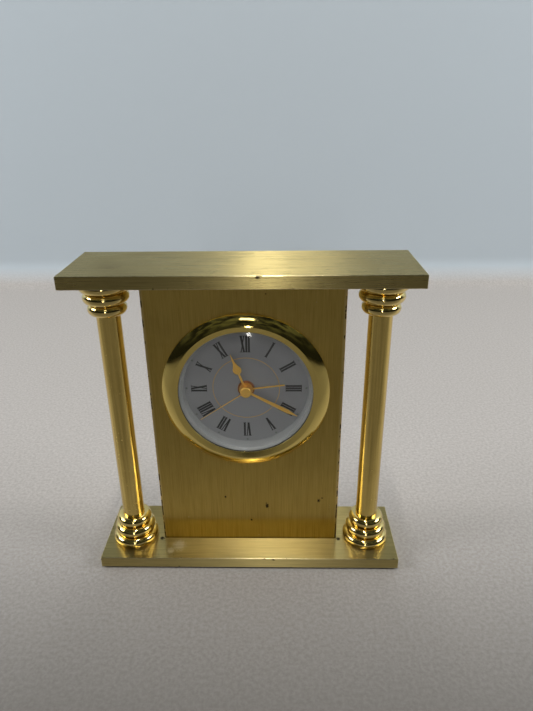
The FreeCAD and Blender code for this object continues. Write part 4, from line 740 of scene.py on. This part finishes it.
def add_camera():
    forward = Vector((math.sin(CAMERA_YAW) * math.cos(CAMERA_PITCH),
                      math.cos(CAMERA_YAW) * math.cos(CAMERA_PITCH), -math.sin(CAMERA_PITCH)))
    right = Vector((math.cos(CAMERA_YAW), -math.sin(CAMERA_YAW), 0))
    up = right.cross(forward)
    level = Matrix((right, up, -forward)).transposed()
    data = bpy.data.cameras.new("camera")
    data.sensor_fit = "VERTICAL"
    data.sensor_height = SENSOR_MM
    data.lens = LENS_MM
    data.clip_start = NEAR_CLIP
    camera = bpy.data.objects.new("camera", data)
    bpy.context.scene.collection.objects.link(camera)
    roll = Matrix.Rotation(CAMERA_ROLL, 3, "Z")
    camera.matrix_world = Matrix.Translation(CAMERA_AT) @ (level @ roll).to_4x4()
    bpy.context.scene.camera = camera


WARM = (1.0, 0.98, 0.94)
SUNNY = (1.0, 0.99, 0.97)
SKY = (0.97, 0.99, 1.0)
COOL = (0.97, 0.98, 1.0)
BLUE = (0.95, 0.98, 1.0)

# name, place, point it faces, width, height, watts, colour
LIGHTS = [
    ("back_strip", (-0.009, 0.38, 0.80), (-0.009, 0, 0.14), 0.06, 0.80, 1.35, WARM),
    ("back_strip_2", (0.085, 0.38, 0.80), (0.085, 0, 0.14), 0.06, 0.80, 0.5, WARM),
    ("low_strip", (-0.02, -1.60, 0.42), (-0.02, 0, 0.1), 0.06, 0.5, 1.6, WARM),
    ("overhead_strip", (-0.01, -0.28, 1.20), (-0.01, -0.28, 0), 0.04, 0.40, 3.0, WARM),
    ("key_light", (-0.02, -1.35, 1.30), (0, 0, 0.05), 0.35, 0.20, 0.8, COOL),
    ("right_light", (1.0, 0.30, 0.95), (0.10, 0.15, 0.0), 0.5, 0.5, 2.1, SUNNY),
    ("left_light", (-1.0, 0.35, 0.95), (-0.10, 0.20, 0.0), 0.5, 0.5, 1.6, SKY),
    ("wall_light_left", (-1.1, -0.15, 0.75), (-0.1, 0.45, 0.30), 0.5, 0.3, 8.0, BLUE),
    ("wall_light_right", (1.1, -0.15, 0.75), (0.1, 0.45, 0.30), 0.5, 0.3, 8.0, BLUE),
]


def add_lights():
    for name, at, look, width, height, watts, colour in LIGHTS:
        data = bpy.data.lights.new(name, "AREA")
        data.shape = "RECTANGLE"
        data.size = width
        data.size_y = height
        data.energy = watts
        data.color = colour
        light = bpy.data.objects.new(name, data)
        bpy.context.scene.collection.objects.link(light)
        light.location = at
        light.rotation_euler = (Vector(look) - Vector(at)).to_track_quat("-Z", "Y").to_euler()


def add_studio():
    """A pale floor that sweeps up into a pale wall behind the clock, with a painted shadow that darkens the
    floor in front.
    """
    bm = bmesh.new()
    left = -FLOOR_REACH
    profile = [bm.verts.new((left, -FLOOR_REACH, 0)), bm.verts.new((left, WALL_Y, 0))]
    for i in range(1, WALL_STEPS + 1):
        turn = math.pi / 2 * i / WALL_STEPS
        rise = WALL_CURVE * (1 - math.cos(turn))
        profile.append(bm.verts.new((left, WALL_Y + WALL_CURVE * math.sin(turn), rise)))
    profile.append(bm.verts.new((left, WALL_Y + WALL_CURVE, WALL_TOP)))
    edges = [bm.edges.new(pair) for pair in zip(profile, profile[1:])]
    swept = bmesh.ops.extrude_edge_only(bm, edges=edges)["geom"]
    far_side = [v for v in swept if isinstance(v, bmesh.types.BMVert)]
    bmesh.ops.translate(bm, vec=(2 * FLOOR_REACH, 0, 0), verts=far_side)
    bmesh.ops.recalc_face_normals(bm, faces=bm.faces)
    mesh = bpy.data.meshes.new("studio_floor")
    bm.to_mesh(mesh)
    bm.free()
    mesh.polygons.foreach_set("use_smooth", [True] * len(mesh.polygons))
    floor = bpy.data.objects.new("studio_floor", mesh)
    bpy.context.scene.collection.objects.link(floor)
    material, b, shader, place = start_material("pale floor")
    grain = b.ramp(b.noise(place, 620.0, 5.0, 0.7), 0.38, 0.62)
    flat = b.blend(grain, rgb(0.40, 0.365, 0.34), rgb(0.52, 0.485, 0.46))
    depth, height = b.add("SeparateXYZ", {0: place}).outputs[1:]
    # Painted shadow: the floor's colour darkens towards the front.
    flat = b.blend(b.ramp(depth, *PAINTED_SHADOW_SPAN, 0.0, PAINTED_SHADOW_SHARE), flat, rgb(0.05, 0.045, 0.035))
    b.feed(shader.inputs["Base Color"], b.blend(b.ramp(height, *WALL_BLEND), flat, rgb(0.54, 0.60, 0.65)))
    b.feed(shader.inputs["Roughness"], b.math("ADD", 0.65, b.math("MULTIPLY", grain, 0.1)))
    mesh.materials.append(material)


def add_world():
    """A dark, patchy room in the reflections, which the camera itself sees as pale."""
    world = bpy.data.worlds.new("soft world")
    bpy.context.scene.world = world
    world.use_nodes = True
    b = Board(world.node_tree)
    around = b.add("TexCoord").outputs["Generated"]
    patches = b.ramp(b.noise(around, 5.5, 5.0, 0.65), 0.44, 0.60)
    back = world.node_tree.nodes["Background"]
    rise = b.ramp(b.add("SeparateXYZ", {0: around}).outputs[2], 0.1, 0.6)
    room = b.blend(b.math("MULTIPLY", patches, rise), rgb(0.010, 0.011, 0.009), rgb(0.11, 0.12, 0.08))
    seen = b.add("LightPath").outputs["Is Camera Ray"]
    b.feed(back.inputs["Color"], b.blend(seen, room, rgb(0.38, 0.42, 0.44)))


add_camera()
add_studio()
add_world()
add_lights()

scene = bpy.context.scene
scene.view_settings.view_transform = "Standard"
scene.view_settings.look = "None"
